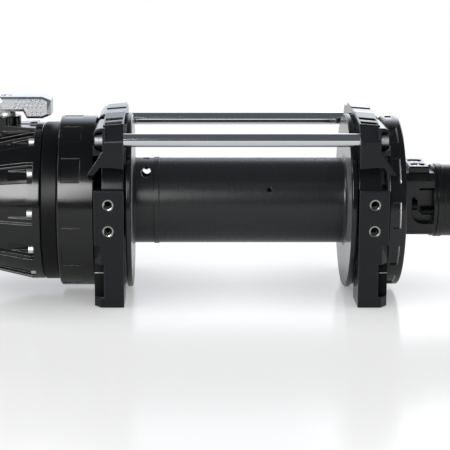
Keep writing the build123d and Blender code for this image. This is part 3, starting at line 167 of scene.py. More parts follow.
shown = add(tree, "ShaderNodeMix", Factor=rays.outputs["Is Camera Ray"], _2=seen.outputs[0], _3=1.0)
tint = add(tree, "ShaderNodeMix", {"data_type": "RGBA"}, Factor=rays.outputs["Is Camera Ray"],
           _6=linear(SWEEP_TINT), _7=linear(WHITE))
light = add(tree, "ShaderNodeBackground", Color=tint.outputs[2], Strength=shown.outputs[0])
add(tree, "ShaderNodeOutputWorld", Surface=light.outputs[0])
print("world nodes", len(tree.nodes))

# %% [markdown]
# The floor is a glossy white table, lit so evenly that it is white to the lens. At this low angle such a surface
# mirrors about a seventh of what stands on it, more and more blurred with height, and takes a weak soft shadow that
# gathers where the feet touch. Further off it fades into the white of the sweep, so that no horizon shows. Only
# camera and mirror rays see its glow, which shows in reflections and lights nothing else.

# %% Floor
FLOOR_SIZE = 8.0
FLOOR_DROP = 0.0004
FLOOR_PAINT = "#f6f7f8"
FLOOR_GLOSS = 0.14
FLOOR_HAZE = 0.17
FLOOR_GLOW = 0.88
FLOOR_MIRRORED = 0.54
CONTACT_REACH = 0.10
CONTACT_DARK = 0.36
CONTACT_SAMPLES = 16
FADE_START = 0.30
FADE_END = 0.75
shape = bmesh.new()
bmesh.ops.create_grid(shape, x_segments=1, y_segments=1, size=FLOOR_SIZE / 2)
bmesh.ops.translate(shape, verts=shape.verts, vec=(0, 0, -FLOOR_DROP))
floor_mesh = bpy.data.meshes.new("studio_floor")
shape.to_mesh(floor_mesh)
shape.free()
floor = bpy.data.objects.new("studio_floor", floor_mesh)
bpy.context.scene.collection.objects.link(floor)
board, tree = new_material("glossy_white_table")
spot = add(tree, "ShaderNodeTexCoord")
reach = add(tree, "ShaderNodeVectorMath", {"operation": "LENGTH"}, _0=spot.outputs["Object"])
fade = add(tree, "ShaderNodeMapRange", {"interpolation_type": "SMOOTHSTEP"}, Value=reach.outputs["Value"],
           From_Min=FADE_START, From_Max=FADE_END)
rays = add(tree, "ShaderNodeLightPath")
mirrored = add(tree, "ShaderNodeMath", {"operation": "MULTIPLY"},
               _0=rays.outputs["Is Glossy Ray"], _1=FLOOR_MIRRORED)
looked_at = add(tree, "ShaderNodeMath", {"operation": "MAXIMUM"},
                _0=rays.outputs["Is Camera Ray"], _1=mirrored.outputs[0])
glow_share = add(tree, "ShaderNodeMath", {"operation": "MULTIPLY"}, _0=looked_at.outputs[0], _1=FLOOR_GLOW)
far_share = add(tree, "ShaderNodeMath", {"operation": "MULTIPLY"}, _0=looked_at.outputs[0], _1=fade.outputs[0])
paint = add(tree, "ShaderNodeBsdfDiffuse", Color=linear(FLOOR_PAINT))
closeness = add(tree, "ShaderNodeAmbientOcclusion", {"samples": CONTACT_SAMPLES}, Distance=CONTACT_REACH)
contact = add(tree, "ShaderNodeMapRange", Value=closeness.outputs["AO"], To_Min=CONTACT_DARK, To_Max=1.0)
glow = add(tree, "ShaderNodeEmission", Color=linear(WHITE), Strength=contact.outputs[0])
lit = add(tree, "ShaderNodeMixShader", _0=glow_share.outputs[0], _1=paint.outputs[0], _2=glow.outputs[0])
gloss = add(tree, "ShaderNodeBsdfAnisotropic", Color=linear(WHITE), Roughness=FLOOR_HAZE)
gloss_share = add(tree, "ShaderNodeMath", {"operation": "MULTIPLY"},
                  _0=rays.outputs["Is Camera Ray"], _1=FLOOR_GLOSS)
near = add(tree, "ShaderNodeMixShader", _0=gloss_share.outputs[0], _1=lit.outputs[0], _2=gloss.outputs[0])
sheet = add(tree, "ShaderNodeMixShader", _0=far_share.outputs[0], _1=near.outputs[0], _2=glow.outputs[0])
add(tree, "ShaderNodeOutputMaterial", Surface=sheet.outputs[0])
floor_mesh.materials.append(board)
print("floor nodes", len(tree.nodes))

# %% [markdown]
# Four lamps are enough. A wide soft box hangs overhead, hidden from reflections, and lights the floor. A long strip
# box stands in front, to the left, above the lens: it draws the bright band along the gear end and dies out on the
# drum. A panel behind, to the right, brightens the sweep there, so that the right support's crown shines. A box on
# the far left shines in the faces of the supports that look that way. The strip and that box show only in gloss.

# %% Lamps
def soft_box(name, place, aim, width, height, radiance, mirrored=True, lights=True):
    """An area lamp of a given radiance that looks at a point."""
    data = bpy.data.lights.new(name, "AREA")
    data.shape = "RECTANGLE"
    data.size = width
    data.size_y = height
    data.energy = radiance * pi * width * height
    lamp = bpy.data.objects.new(name, data)
    bpy.context.scene.collection.objects.link(lamp)
    lamp.location = place
    lamp.rotation_euler = (Vector(aim) - Vector(place)).to_track_quat("-Z", "Y").to_euler()
    lamp.visible_camera = False
    lamp.visible_glossy = mirrored
    lamp.visible_diffuse = lights


soft_box("overhead_box", place=(0, -0.2, 2.0), aim=(0, 0, 0), width=2.4, height=2.4, radiance=1.1, mirrored=False)
soft_box("front_strip", place=(-0.74, -1.38, 0.70), aim=(-0.20, 0, AXIS_Z), width=1.08, height=0.64, radiance=12.5,
         lights=False)
soft_box("back_panel", place=(0.85, 1.60, 0.75), aim=(0.15, 0, 0.15), width=1.30, height=0.90, radiance=1.1)
soft_box("left_box", place=(-1.60, -0.25, 1.15), aim=(-0.05, 0, AXIS_Z), width=0.80, height=0.80, radiance=5.0,
         lights=False)
print("lamps", len(bpy.data.lights))

# %% [markdown]
# The blacks are different finishes. The supports are castings under a smooth powder coat. The gear end has a glossier
# coat with a trace of orange peel, and its ring plate is turned and nearly matte. The drum barrel is half matte, with
# a trace of dust. One function makes them all: a coat with its spread of tones and roughness and the size of its
# grain. Casting grain and turning marks are finer than a pixel, so they are drawn as coarse as they need to show.
# Paint draws round every corner, so a Bevel node turns the normals there: that is the fine bright line on each edge.
# On some coats a pale, metallic painted highlight is laid along the edges as well.

# %% Painted finishes
EDGE_SAMPLES = 8
EDGE_HIGHLIGHT_START = 0.88
EDGE_HIGHLIGHT_FULL = 0.76
EDGE_HIGHLIGHT_COLOUR = "#9a9c9f"
DUST_SOFTNESS = 0.4
NOISE_LOW = 0.3
NOISE_HIGH = 0.7
PATCH_DETAIL = 3.0
GRAIN_DETAIL = 2.0


def coat(name, tones, rough, patch_mm, grain_mm, grain_height_mm, edge_mm, stretch=(1, 1, 1), gleam=0.5, edge_highlight=0.0,
         dust=0.0, zone=None):
    """A painted finish: tone and roughness drift over patches, a fine grain lifts it, and its edges are round.

    Inside its zone, a span of the radius round the drum axis or of X or Z from it, the surface is finished otherwise.
    """
    material, tree = new_material(name)
    place = add(tree, "ShaderNodeTexCoord")
    drawn = add(tree, "ShaderNodeMapping", Vector=place.outputs["Object"], Scale=stretch)
    patches = add(tree, "ShaderNodeTexNoise", Vector=drawn.outputs[0], Scale=1 / (patch_mm * MM), Detail=PATCH_DETAIL)
    grain = add(tree, "ShaderNodeTexNoise", Vector=drawn.outputs[0], Scale=1 / (grain_mm * MM), Detail=GRAIN_DETAIL)
    colour = add(tree, "ShaderNodeMix", {"data_type": "RGBA"}, Factor=patches.outputs["Fac"],
                 _6=linear(tones[0]), _7=linear(tones[1])).outputs[2]
    gloss = add(tree, "ShaderNodeMapRange", Value=patches.outputs["Fac"], From_Min=NOISE_LOW, From_Max=NOISE_HIGH,
                To_Min=rough[0], To_Max=rough[1]).outputs[0]
    highlight_and_bare_metal = 0.0
    edge = add(tree, "ShaderNodeBevel", {"samples": EDGE_SAMPLES}, Radius=edge_mm * MM)
    lift = add(tree, "ShaderNodeBump", Height=grain.outputs["Fac"], Strength=1.0, Distance=grain_height_mm * MM,
               Normal=edge.outputs[0])
    # Painted highlight: where the rounded normal turns off the flat face, the colour goes pale and metallic along the
    # edge.
    if edge_highlight:
        flat = add(tree, "ShaderNodeNewGeometry")
        turn = add(tree, "ShaderNodeVectorMath", {"operation": "DOT_PRODUCT"},
                   _0=edge.outputs[0], _1=flat.outputs["Normal"])
        highlight_and_bare_metal = add(tree, "ShaderNodeMapRange", Value=turn.outputs["Value"], From_Min=EDGE_HIGHLIGHT_START, From_Max=EDGE_HIGHLIGHT_FULL,
                   To_Max=edge_highlight).outputs[0]
        colour = add(tree, "ShaderNodeMix", {"data_type": "RGBA"}, Factor=highlight_and_bare_metal,
                     _6=colour, _7=linear(EDGE_HIGHLIGHT_COLOUR)).outputs[2]
    if zone:
        centred = add(tree, "ShaderNodeMapping", Vector=place.outputs["Object"], Location=(0, 0, -AXIS_Z))
        spots = add(tree, "ShaderNodeSeparateXYZ", Vector=centred.outputs[0])
        if zone["of"] == "radius":
            across = add(tree, "ShaderNodeCombineXYZ", Y=spots.outputs["Y"], Z=spots.outputs["Z"])
            length = add(tree, "ShaderNodeVectorMath", {"operation": "LENGTH"}, _0=across.outputs[0])
            measure = length.outputs["Value"]
        else:
            measure = spots.outputs[zone["of"]]
        share = add(tree, "ShaderNodeMapRange", Value=measure,
                    From_Min=zone["start_mm"] * MM, From_Max=zone["full_mm"] * MM).outputs[0]
        colour = add(tree, "ShaderNodeMix", {"data_type": "RGBA"}, Factor=share,
                     _6=colour, _7=linear(zone["tone"])).outputs[2]
        gloss = add(tree, "ShaderNodeMix", Factor=share, _2=gloss, _3=zone["rough"]).outputs[0]
        if edge_highlight or zone["metal"]:
            highlight_and_bare_metal = add(tree, "ShaderNodeMix", Factor=share, _2=highlight_and_bare_metal, _3=zone["metal"]).outputs[0]
    skin = add(tree, "ShaderNodeBsdfPrincipled", Base_Color=colour, Roughness=gloss, Metallic=highlight_and_bare_metal,
               Specular_IOR_Level=gleam, Sheen_Weight=dust, Sheen_Roughness=DUST_SOFTNESS, Normal=lift.outputs[0])
    add(tree, "ShaderNodeOutputMaterial", Surface=skin.outputs[0])
    return material


finishes = {
    # Powder coat over a casting: an even grey-black with a weak sheen, and a pale metallic painted highlight on its
    # corners.
    "cast_support": coat(
        "powder_coat_on_casting", tones=("#2a2b2e", "#2f3033"), rough=(0.14, 0.19), patch_mm=22, grain_mm=1.1,
        grain_height_mm=0.004, edge_mm=2.0, gleam=0.20, edge_highlight=0.35),
    # Semi-gloss coat on the housing: deep black that mirrors the strip box as one soft band.
    "gear_case": coat(
        "semi_gloss_black_coat", tones=("#0a0b0c", "#0f1012"), rough=(0.14, 0.19), patch_mm=30, grain_mm=2.4,
        grain_height_mm=0.003, edge_mm=0.7),
    # The same coat on the cover, with a painted highlight on its ribs: thin pale lines along them.
    "gear_end_cover": coat(
        "semi_gloss_black_on_ribs", tones=("#0a0b0c", "#0f1012"), rough=(0.14, 0.19), patch_mm=30, grain_mm=2.4,
        grain_height_mm=0.003, edge_mm=1.6, edge_highlight=0.15),
    # Thin coat over turning marks: nearly matte, so the band dies between the two glossy parts.
    "ring_plate": coat(
        "matte_coat_on_turned_plate", tones=("#0a0b0c", "#0f1012"), rough=(0.30, 0.36), patch_mm=20, grain_mm=0.9,
        grain_height_mm=0.010, edge_mm=0.5, stretch=(1, 0.02, 0.02), gleam=0.2),
    # Semi-gloss coat on the motor disc: a shade greyer, with a painted highlight on its edges and a pale side towards
    # the support.
    "motor_flange_coat": coat(
        "semi_gloss_flange_coat", tones=("#121315", "#17181b"), rough=(0.18, 0.25), patch_mm=26, grain_mm=1.8,
        grain_height_mm=0.004, edge_mm=1.0, edge_highlight=0.2,
        zone={"of": "X", "start_mm": 140.75, "full_mm": 140.65, "tone": "#e2e3e2", "rough": 0.55, "metal": 0.0}),
    # Paint over rough cast iron: black with broken highlights.
    "motor_coat": coat(
        "black_paint_on_cast_iron", tones=("#0c0d0f", "#121315"), rough=(0.24, 0.34), patch_mm=14, grain_mm=1.3,
        grain_height_mm=0.012, edge_mm=0.9),
    # The same paint, cut away where the port boss is faced: bare grey metal on top.
    "motor_port_housing": coat(
        "black_paint_with_a_faced_boss", tones=("#0c0d0f", "#121315"), rough=(0.24, 0.34), patch_mm=14, grain_mm=1.3,
        grain_height_mm=0.012, edge_mm=0.9,
        zone={"of": "Z", "start_mm": 37.7, "full_mm": 37.9, "tone": "#8a8b8d", "rough": 0.36, "metal": 1.0}),
    # Half-matte coat on the turned barrel: dust softens its light. The flanges are glossier and mirror the barrel.
    "drum_coat": coat(
        "matte_coat_on_turned_drum", tones=("#1e1f21", "#202123"), rough=(0.27, 0.29), patch_mm=18, grain_mm=1.0,
        grain_height_mm=0.001, edge_mm=0.7, stretch=(4, 1, 1), gleam=0.50, dust=0.34,
        zone={"of": "radius", "start_mm": 44, "full_mm": 47, "tone": "#121315", "rough": 0.14, "metal": 0.0}),
    # Moulded rubber: dull and dark, with hardly a highlight.
    "seal_rubber": coat(
        "black_nitrile_rubber", tones=("#0a0a0a", "#101010"), rough=(0.55, 0.70), patch_mm=8, grain_mm=0.8,
        grain_height_mm=0.010, edge_mm=0.2, gleam=0.15),
}
print("painted finishes", len(finishes))

# %% [markdown]
# The bright parts are bare metal: drawn bar for the tie rods, cast alloy for the lever, zinc on the screws, cut steel
# for the gears and bronze for the bushings. A metal keeps the default index, and its colour is its reflection. The
# lines that a die or a lathe leaves are far finer than a pixel, so they are drawn as coarse as they need to show.

# %% Metal finishes
LINE_DETAIL = 4.0


def metal(name, tones, rough, line_mm, line_height_mm=0.0, edge_mm=0.0, stretch=(1, 1, 1)):
    """A bare metal finish: fine lines or grain, stretched the way it was worked, and broken edges where given."""
    material, tree = new_material(name)
    place = add(tree, "ShaderNodeTexCoord")
    worked = add(tree, "ShaderNodeMapping", Vector=place.outputs["Object"], Scale=stretch)
    lines = add(tree, "ShaderNodeTexNoise", Vector=worked.outputs[0], Scale=1 / (line_mm * MM), Detail=LINE_DETAIL)
    colour = add(tree, "ShaderNodeMix", {"data_type": "RGBA"}, Factor=lines.outputs["Fac"],
                 _6=linear(tones[0]), _7=linear(tones[1]))
    gloss = add(tree, "ShaderNodeMapRange", Value=lines.outputs["Fac"], From_Min=NOISE_LOW, From_Max=NOISE_HIGH,
                To_Min=rough[0], To_Max=rough[1])
    skin = add(tree, "ShaderNodeBsdfPrincipled", Base_Color=colour.outputs[2], Roughness=gloss.outputs[0],
               Metallic=1.0)
    if edge_mm:
        edge = add(tree, "ShaderNodeBevel", {"samples": EDGE_SAMPLES}, Radius=edge_mm * MM)
        lift = add(tree, "ShaderNodeBump", Height=lines.outputs["Fac"], Strength=1.0, Distance=line_height_mm * MM,
                   Normal=edge.outputs[0])
        tree.links.new(lift.outputs[0], skin.inputs["Normal"])
    add(tree, "ShaderNodeOutputMaterial", Surface=skin.outputs[0])
    return material


finishes.update({
    # Drawn and polished bar: a clean mirror of the floor below and the dark room above.
    "polished_steel": metal(
        "drawn_steel_bar", tones=("#d4d6d8", "#e2e4e6"), rough=(0.08, 0.09), line_mm=1.2, stretch=(0.04, 1, 1)),
    # Die cast alloy, tumbled bright: light grey with soft reflections.
    "lever_alloy": metal("bright_cast_alloy", tones=("#bdbec0", "#cbccce"), rough=(0.24, 0.30), line_mm=2.4),
    # Zinc plate: white and silky, so each screw is a bright dot.
    "zinc_fastener": metal(
        "bright_zinc_plate", tones=("#d3d4d4", "#e4e4e2"), rough=(0.46, 0.54), line_mm=1.5, line_height_mm=0.004,
        edge_mm=1.0),
    # Turned heads: lines round the axis, from dark to light grey.
    "tie_rod_screws": metal(
        "turned_steel", tones=("#6c6d6f", "#cfd0d2"), rough=(0.50, 0.58), line_mm=1.6, line_height_mm=0.010,
        edge_mm=1.0, stretch=(1, 0.04, 0.04)),
    # Black oxide: dark grey with an oily gleam.
    "black_fastener": metal(
        "black_oxide_steel", tones=("#1d1e20", "#2a2b2d"), rough=(0.30, 0.42), line_mm=1.4, line_height_mm=0.004,
        edge_mm=0.4),
    # Fresh cut steel: a crisp crescent of light in the mouth of each insert.
    "insert_steel": metal("bright_turned_steel", tones=("#9c9b98", "#b0afab"), rough=(0.16, 0.22), line_mm=1.0),
    # Cut gear steel under oil: mid grey with small sharp highlights.
    "gear_steel": metal(
        "oiled_cut_steel", tones=("#7d7e80", "#98999a"), rough=(0.25, 0.36), line_mm=1.0, line_height_mm=0.006,
        edge_mm=0.2),
    # Porous bronze: brown gold and soft.
    "bearing_bronze": metal(
        "sintered_bronze", tones=("#8f6432", "#b0834a"), rough=(0.32, 0.45), line_mm=0.8, line_height_mm=0.008,
        edge_mm=0.2),
})
print("finishes", len(finishes))

# %% [markdown]
# Each solid takes the finish of its slot, or the one that has its own name. The CAD object keeps its own mesh, so the
# finish is set on the object.

# %% Dress the solids
slot_of = {part["node"]: part["material_slot"] for part in frame["record"]["subparts"]}
body_of = {node: body for body, names in frame["record"]["behaviour"]["bodies"].items() for node in names}
for name, solid in nodes.items():
    solid.material_slots[0].link = "OBJECT"
    solid.material_slots[0].material = finishes.get(name, finishes[slot_of[name]])
print("dressed", len(nodes))

# %% [markdown]
# The solids leave out the fine trim, whose sizes are in mm from here on. Turned shapes come from a profile that is
# spun round Z, then copied to each place by a matrix. One function finishes a piece: it gets its slot's finish and
# rides on its body.

# %% Helpers for the small pieces
WELD = 0.001
SHARP_ANGLE = 32


def turned(profile, steps):
    """A bmesh of a profile of (radius, height) points in mm, spun round Z."""
    shape = bmesh.new()
    line = [shape.verts.new((radius * MM, 0, height * MM)) for radius, height in profile]
    edges = [shape.edges.new(pair) for pair in zip(line, line[1:])]
    bmesh.ops.spin(shape, geom=line + edges, axis=(0, 0, 1), cent=(0, 0, 0), angle=2 * pi, steps=steps,
                   use_merge=True)
    bmesh.ops.remove_doubles(shape, verts=shape.verts, dist=WELD * MM)
    bmesh.ops.recalc_face_normals(shape, faces=shape.faces)
    return shape


def verts_in(parts):
    """The vertices in a list of bmesh parts."""
    return [part for part in parts if isinstance(part, bmesh.types.BMVert)]


def repeat(shape, places):
    """Copies all that a bmesh holds to each of the matrices."""
    pattern = shape.verts[:] + shape.edges[:] + shape.faces[:]
    for place in places[1:]:
        copy = bmesh.ops.duplicate(shape, geom=pattern)["geom"]
        bmesh.ops.transform(shape, matrix=place, verts=verts_in(copy))
    bmesh.ops.transform(shape, matrix=places[0], verts=verts_in(pattern))
    return shape


def finished(name, shape, body, slot, sharp=SHARP_ANGLE):
    """A piece from a bmesh, with the finish of a slot, riding on a body."""
    mesh = bpy.data.meshes.new(name)
    shape.to_mesh(mesh)
    shape.free()
    mesh.shade_smooth()
    mesh.set_sharp_from_angle(angle=radians(sharp))
    mesh.materials.append(finishes[slot])
    piece = bpy.data.objects.new(name, mesh)
    bpy.context.scene.collection.objects.link(piece)
    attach(piece, body)
    print(name, "faces", len(mesh.polygons))
    return piece


TO_FRONT = Matrix.Rotation(pi / 2, 4, "X")
TO_BACK = Matrix.Rotation(-pi / 2, 4, "X")

# %% [markdown]
# The clutch lever's sides are cast with rows of small round dimples, so that a wet glove holds it. The lever is a
# copy of the CAD solid, with its chamfers drawn wider into the sides, as a casting's are, a blunter tip and a narrower
# hub. A Boolean modifier cuts the dimples: each is a flat-bottomed pocket with sloping walls, so it shows as a dark
# ring round a light spot. A row is its height over the drum axis, the X of its first dimple and its count. The rows
# are staggered, and the last is only on the deep end. Faces square to an axis are shaded flat, to keep the light even.

# %% Dimpled clutch lever
DIMPLE_PROFILE = [(0, -0.55), (0.70, -0.55), (1.15, -0.15), (1.30, 0.05), (1.30, 0.60), (0, 0.60)]
DIMPLE_STEPS = 12
DIMPLE_PITCH = 4.35
DIMPLE_ROWS = [(101.4, -217.4, 6), (98.0, -219.4, 7), (94.6, -220.8, 7), (89.2, -203.6, 3)]
LEVER_MIDDLE = 96.0
BORDER_FROM = 13.0
BORDER_DEPTH = 1.5
BORDER_MORE = 0.9
TIP_WIDEN = 1.27
LEVER_SHARP = 12
FLAT_FROM = 0.9999
ON_FACE = 0.01
ON_ROUND = 0.05
HUB_R = 10.0
HUB_TOP = 90.8
HUB_BOTTOM = 87.0
HUB_NARROW = 0.802
lever_low, lever_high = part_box("clutch_lever")
dimple_places = []
for height, first, count in DIMPLE_ROWS:
    for step in range(count):
        across, up = (first + DIMPLE_PITCH * step) * MM, AXIS_Z + height * MM
        dimple_places.append(Matrix.Translation((across, lever_low.y, up)) @ TO_FRONT)
        dimple_places.append(Matrix.Translation((across, lever_high.y, up)) @ TO_BACK)
cutter_mesh = bpy.data.meshes.new("dimple_cutter")
shape = repeat(turned(DIMPLE_PROFILE, DIMPLE_STEPS), dimple_places)
shape.to_mesh(cutter_mesh)
cutter = bpy.data.objects.new("dimple_cutter", cutter_mesh)
blank_mesh = bpy.data.meshes.new("lever_blank")
shape.clear()
shape.from_mesh(nodes["clutch_lever"].data)
bmesh.ops.remove_doubles(shape, verts=shape.verts, dist=WELD * MM)
arm_middle = AXIS_Z + LEVER_MIDDLE * MM
washer_low, washer_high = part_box("lever_washer")
clutch_x = (washer_low.x + washer_high.x) / 2
for vert in shape.verts:
    border = max(0.0, (abs(vert.co.y) / MM - BORDER_FROM) / BORDER_DEPTH)
    vert.co.z += BORDER_MORE * MM * border * (1 if vert.co.z < arm_middle else -1)
    if abs(vert.co.x - lever_high.x) < ON_FACE * MM:
        vert.co.y *= TIP_WIDEN
    from_axis = Vector((vert.co.x - clutch_x, vert.co.y))
    on_hub = HUB_BOTTOM - ON_FACE < (vert.co.z - AXIS_Z) / MM < HUB_TOP + ON_FACE
    if on_hub and abs(from_axis.length / MM - HUB_R) < ON_ROUND:
        vert.co.x, vert.co.y = clutch_x + from_axis.x * HUB_NARROW, from_axis.y * HUB_NARROW
shape.to_mesh(blank_mesh)
blank = bpy.data.objects.new("lever_blank", blank_mesh)
for part in (cutter, blank):
    bpy.context.scene.collection.objects.link(part)
cut = blank.modifiers.new("dimples", "BOOLEAN")
cut.object = cutter
cut.solver = "EXACT"
cut_mesh = blank.evaluated_get(bpy.context.evaluated_depsgraph_get()).to_mesh()
shape.clear()
shape.from_mesh(cut_mesh)
print("lever faces before and after", len(blank_mesh.polygons), len(cut_mesh.polygons))
for part in (cutter, blank):
    bpy.data.objects.remove(part, do_unlink=True)
lever = finished("dimpled_clutch_lever", shape, "lever_assembly", "lever_alloy", sharp=LEVER_SHARP)
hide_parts("clutch_lever")
for facet in lever.data.polygons:
    facet.use_smooth = max(abs(part) for part in facet.normal) < FLAT_FROM

# %% [markdown]
# Round the lever's hub lies a thrust ring of bright zinc. The CAD solid is a wider, thinner washer, so a turned ring
# with a broken edge stands for it, on the same seat and with the same bore.

# %% Thrust ring
WASHER_BORE_R = 8.05
WASHER_R = 8.8
WASHER_EDGE = 0.35
WASHER_HIGH = 3.4
WASHER_STEPS = 48
washer_profile = [(WASHER_BORE_R, 0), (WASHER_R, 0), (WASHER_R, WASHER_HIGH - WASHER_EDGE),
                  (WASHER_R - WASHER_EDGE, WASHER_HIGH), (WASHER_BORE_R, WASHER_HIGH), (WASHER_BORE_R, 0)]
washer_place = Matrix.Translation((clutch_x, 0, washer_low.z))
washer = finished("lever_thrust_washer", repeat(turned(washer_profile, WASHER_STEPS), [washer_place]),
                  body_of["lever_washer"], "zinc_fastener")
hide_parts("lever_washer")

# %% [markdown]
# The four fairlead inserts are threaded steel bushes. The CAD solids are plain tubes, so turned ones stand for them:
# a thin rim, a countersunk mouth that catches the light, and thread grooves down the bore.

# %% Threaded inserts
INSERT_R = 5.3
INSERT_DEPTH = 20.0
MOUTH_R = 5.1
BORE_R = 4.0
RIM_DEPTH = 0.35
MOUTH_DEPTH = 0.72
THREAD_PITCH = 1.25
THREAD_DEPTH = 0.5
THREAD_TURNS = 12
INSERT_STEPS = 28
profile = [(INSERT_R, -INSERT_DEPTH), (INSERT_R, -RIM_DEPTH), (MOUTH_R, -RIM_DEPTH), (BORE_R, -MOUTH_DEPTH)]
for turn in range(THREAD_TURNS):
    root = -MOUTH_DEPTH - THREAD_PITCH * (turn + 0.5)
    profile += [(BORE_R + THREAD_DEPTH, root), (BORE_R, root - THREAD_PITCH / 2)]
profile += [(BORE_R, -INSERT_DEPTH), (INSERT_R, -INSERT_DEPTH)]
insert_low, insert_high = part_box("thread_inserts")
insert_places = [
    Matrix.Translation((across, insert_low.y, up)) @ TO_FRONT
    for across in (insert_low.x + INSERT_R * MM, insert_high.x - INSERT_R * MM)
    for up in (insert_low.z + INSERT_R * MM, insert_high.z - INSERT_R * MM)
]
inserts = finished("threaded_insert_bushes", repeat(turned(profile, INSERT_STEPS), insert_places), "winch_frame",
                   "insert_steel")
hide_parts("thread_inserts")

# %% [markdown]
# On the motor disc, the end wall of each rim panel shows a short bright line, a painted highlight in bright zinc on a
# sloped face. One turned ring does it: it lies just under the rim, so the disc covers it everywhere but in the panels.

# %% Painted highlights on the walls of the disc's panels
WALL_PROFILE = [(82.0, 151.3), (82.62, 151.3), (83.80, 152.5), (83.80, 152.7), (82.0, 152.7), (82.0, 151.3)]
WALL_STEPS = 120
ALONG_X = Matrix.Translation((0, 0, AXIS_Z)) @ Matrix.Rotation(pi / 2, 4, "Y")
finished("disc_panel_highlight_walls", repeat(turned(WALL_PROFILE, WALL_STEPS), [ALONG_X]), "winch_frame", "zinc_fastener")

# %% [markdown]
# Each pressure port has a turned steel seat below its mouth. It is dished, so that it throws the pale sweep back at
# the lens, with one thread ridge above it and a small bore in the middle.

# %% Seats in the pressure ports
PORT_PROFILE = [(7.98, -3.2), (7.98, -0.3), (7.55, -0.7), (7.9, -1.1), (3.0, -2.2), (2.6, -2.6), (2.6, -9.0),
                (3.6, -9.0), (7.98, -3.2)]
PORT_STEPS = 40
ports = [mount for mount in frame["record"]["mounts"] if mount["kind"] == "threaded_hole"]
port_places = [
    Matrix.Translation(Vector(port["pos_m"]) + Vector(port["axis"]) * port["dims"]["length_mm"] / 2 * MM)
    for port in ports
]
seats = repeat(turned(PORT_PROFILE, PORT_STEPS), port_places)
finished("pressure_port_seats", seats, "winch_frame", "polished_steel")

# %% [markdown]
# Behind each notch in the feet, a matte black plate closes the view through the foot: painted shade for the dark
# pocket. A bright zinc strip across it is a painted highlight line. Both are bars that start as a cube,
# so one function makes them.

# %% Painted shade and highlight in the foot notches
NOTCH_MIDDLE_X = 135.9
NOTCH_WIDTH = 9.2
SHADE_PLATE_LOW = 10.2
SHADE_PLATE_HIGH = 41.5
SHADE_PLATE_THICK = 1.5
SHADE_PLATE_Y = 79.6
STRIP_HEIGHT = 0.65
STRIP_Z = 32.6
STRIP_THICK = 1.0
STRIP_Y = 80.9
BAR_EDGE = 0.25
BAR_SEGMENTS = 2


def notch_bars(thick, height, depth, middle):
    """A bevelled bar in each of the four notches, so far from the middle and so high over the floor, in mm."""
    shape = bmesh.new()
    bmesh.ops.create_cube(shape, size=MM)
    bmesh.ops.scale(shape, verts=shape.verts, vec=(NOTCH_WIDTH, thick, height))
    bmesh.ops.bevel(shape, geom=shape.edges[:], offset=BAR_EDGE * MM, offset_type="OFFSET", segments=BAR_SEGMENTS,
                    profile=0.5, affect="EDGES", material=-1)
    return repeat(shape, [
        Matrix.Translation((side * NOTCH_MIDDLE_X * MM, face * depth * MM, middle * MM))
        for side in (-1, 1) for face in (-1, 1)
    ])


# Painted shade: a matte black plate where the pocket lies in shade.
shade_plates = notch_bars(SHADE_PLATE_THICK, SHADE_PLATE_HIGH - SHADE_PLATE_LOW, SHADE_PLATE_Y, (SHADE_PLATE_HIGH + SHADE_PLATE_LOW) / 2)
finished("foot_notch_shade_plates", shade_plates, "winch_frame", "seal_rubber")
# Painted highlight: a bright zinc strip that draws the light line across each notch.
highlight_strips = notch_bars(STRIP_THICK, STRIP_HEIGHT, STRIP_Y, STRIP_Z)
finished("foot_notch_highlight_strips", highlight_strips, "winch_frame", "zinc_fastener")

# %% [markdown]
# The rope goes through the barrel in a sloping hole. A set screw comes down on it from above, and a grooved seat in
# the far end of the hole carries it. The seat starts as a disc that is cut straight across, then its cut edge is
# divided and pressed down to a groove.

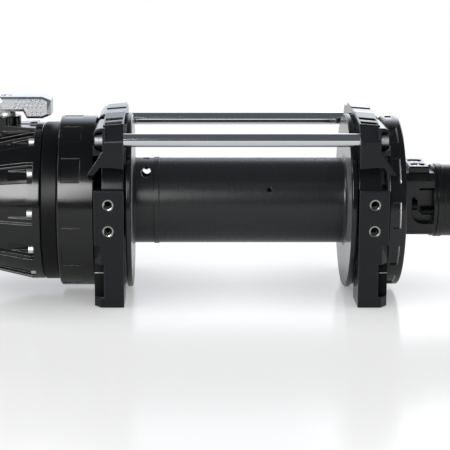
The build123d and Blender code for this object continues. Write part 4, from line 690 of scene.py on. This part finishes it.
# %% Rope anchor screw and seat
ANCHOR_X = next(mount["pos_m"][0] for mount in frame["record"]["mounts"] if mount["name"] == "rope_anchor")
ANCHOR_TILT = radians(9.5)
ANCHOR_OFFSET = 27.6
SCREW_TIP = 31.2
SCREW_TOP = 41.0
SCREW_R = 3.8
SCREW_EDGE = 0.4
POINT_R = 1.5
POINT_LENGTH = 2.8
SOCKET_R = 2.0
SOCKET_DEPTH = 3.0
SCREW_STEPS = 24
SEAT_R = 4.9
SEAT_SEGMENTS = 32
SEAT_CUT = 1.8
SEAT_GROOVE = 3.3
GROOVE_CUTS = 9
SEAT_NEAR = 20.0
SEAT_FAR = 27.0
ON_CUT = 0.0001
screw_profile = [
    (0, SCREW_TIP), (POINT_R, SCREW_TIP), (SCREW_R, SCREW_TIP + POINT_LENGTH), (SCREW_R, SCREW_TOP - SCREW_EDGE),
    (SCREW_R - SCREW_EDGE, SCREW_TOP), (SOCKET_R, SCREW_TOP), (SOCKET_R, SCREW_TOP - SOCKET_DEPTH),
    (0, SCREW_TOP - SOCKET_DEPTH),
]
screw = repeat(turned(screw_profile, SCREW_STEPS), [Matrix.Translation((ANCHOR_X, 0, AXIS_Z))])
finished("rope_set_screw", screw, "rope_drum", "black_fastener")
shape = bmesh.new()
bmesh.ops.create_circle(shape, cap_ends=True, segments=SEAT_SEGMENTS, radius=SEAT_R * MM)
bmesh.ops.bisect_plane(shape, geom=shape.verts[:] + shape.edges[:] + shape.faces[:], plane_co=(0, SEAT_CUT * MM, 0),
                       plane_no=(0, 1, 0), clear_outer=True)
cut = [edge for edge in shape.edges if all(abs(end.co.y - SEAT_CUT * MM) < ON_CUT * MM for end in edge.verts)]
bmesh.ops.subdivide_edges(shape, edges=cut, cuts=GROOVE_CUTS)
cut_verts = [vert for vert in shape.verts if abs(vert.co.y - SEAT_CUT * MM) < ON_CUT * MM]
half_width = max(vert.co.x for vert in cut_verts)
for vert in cut_verts:
    vert.co.y -= SEAT_GROOVE * MM * (1 - (vert.co.x / half_width) ** 2)
grown = bmesh.ops.extrude_face_region(shape, geom=shape.faces[:])["geom"]
bmesh.ops.translate(shape, vec=(0, 0, (SEAT_FAR - SEAT_NEAR) * MM), verts=verts_in(grown))
bmesh.ops.recalc_face_normals(shape, faces=shape.faces)
hole_y, hole_z = ANCHOR_OFFSET * sin(ANCHOR_TILT) * MM, ANCHOR_OFFSET * cos(ANCHOR_TILT) * MM
seat_place = (
    Matrix.Translation((ANCHOR_X, hole_y, AXIS_Z + hole_z)) @ Matrix.Rotation(pi / 2 - ANCHOR_TILT, 4, "X")
    @ Matrix.Translation((0, 0, -SEAT_FAR * MM))
)
finished("rope_anchor_seat", repeat(shape, [seat_place]), "rope_drum", "drum_coat")
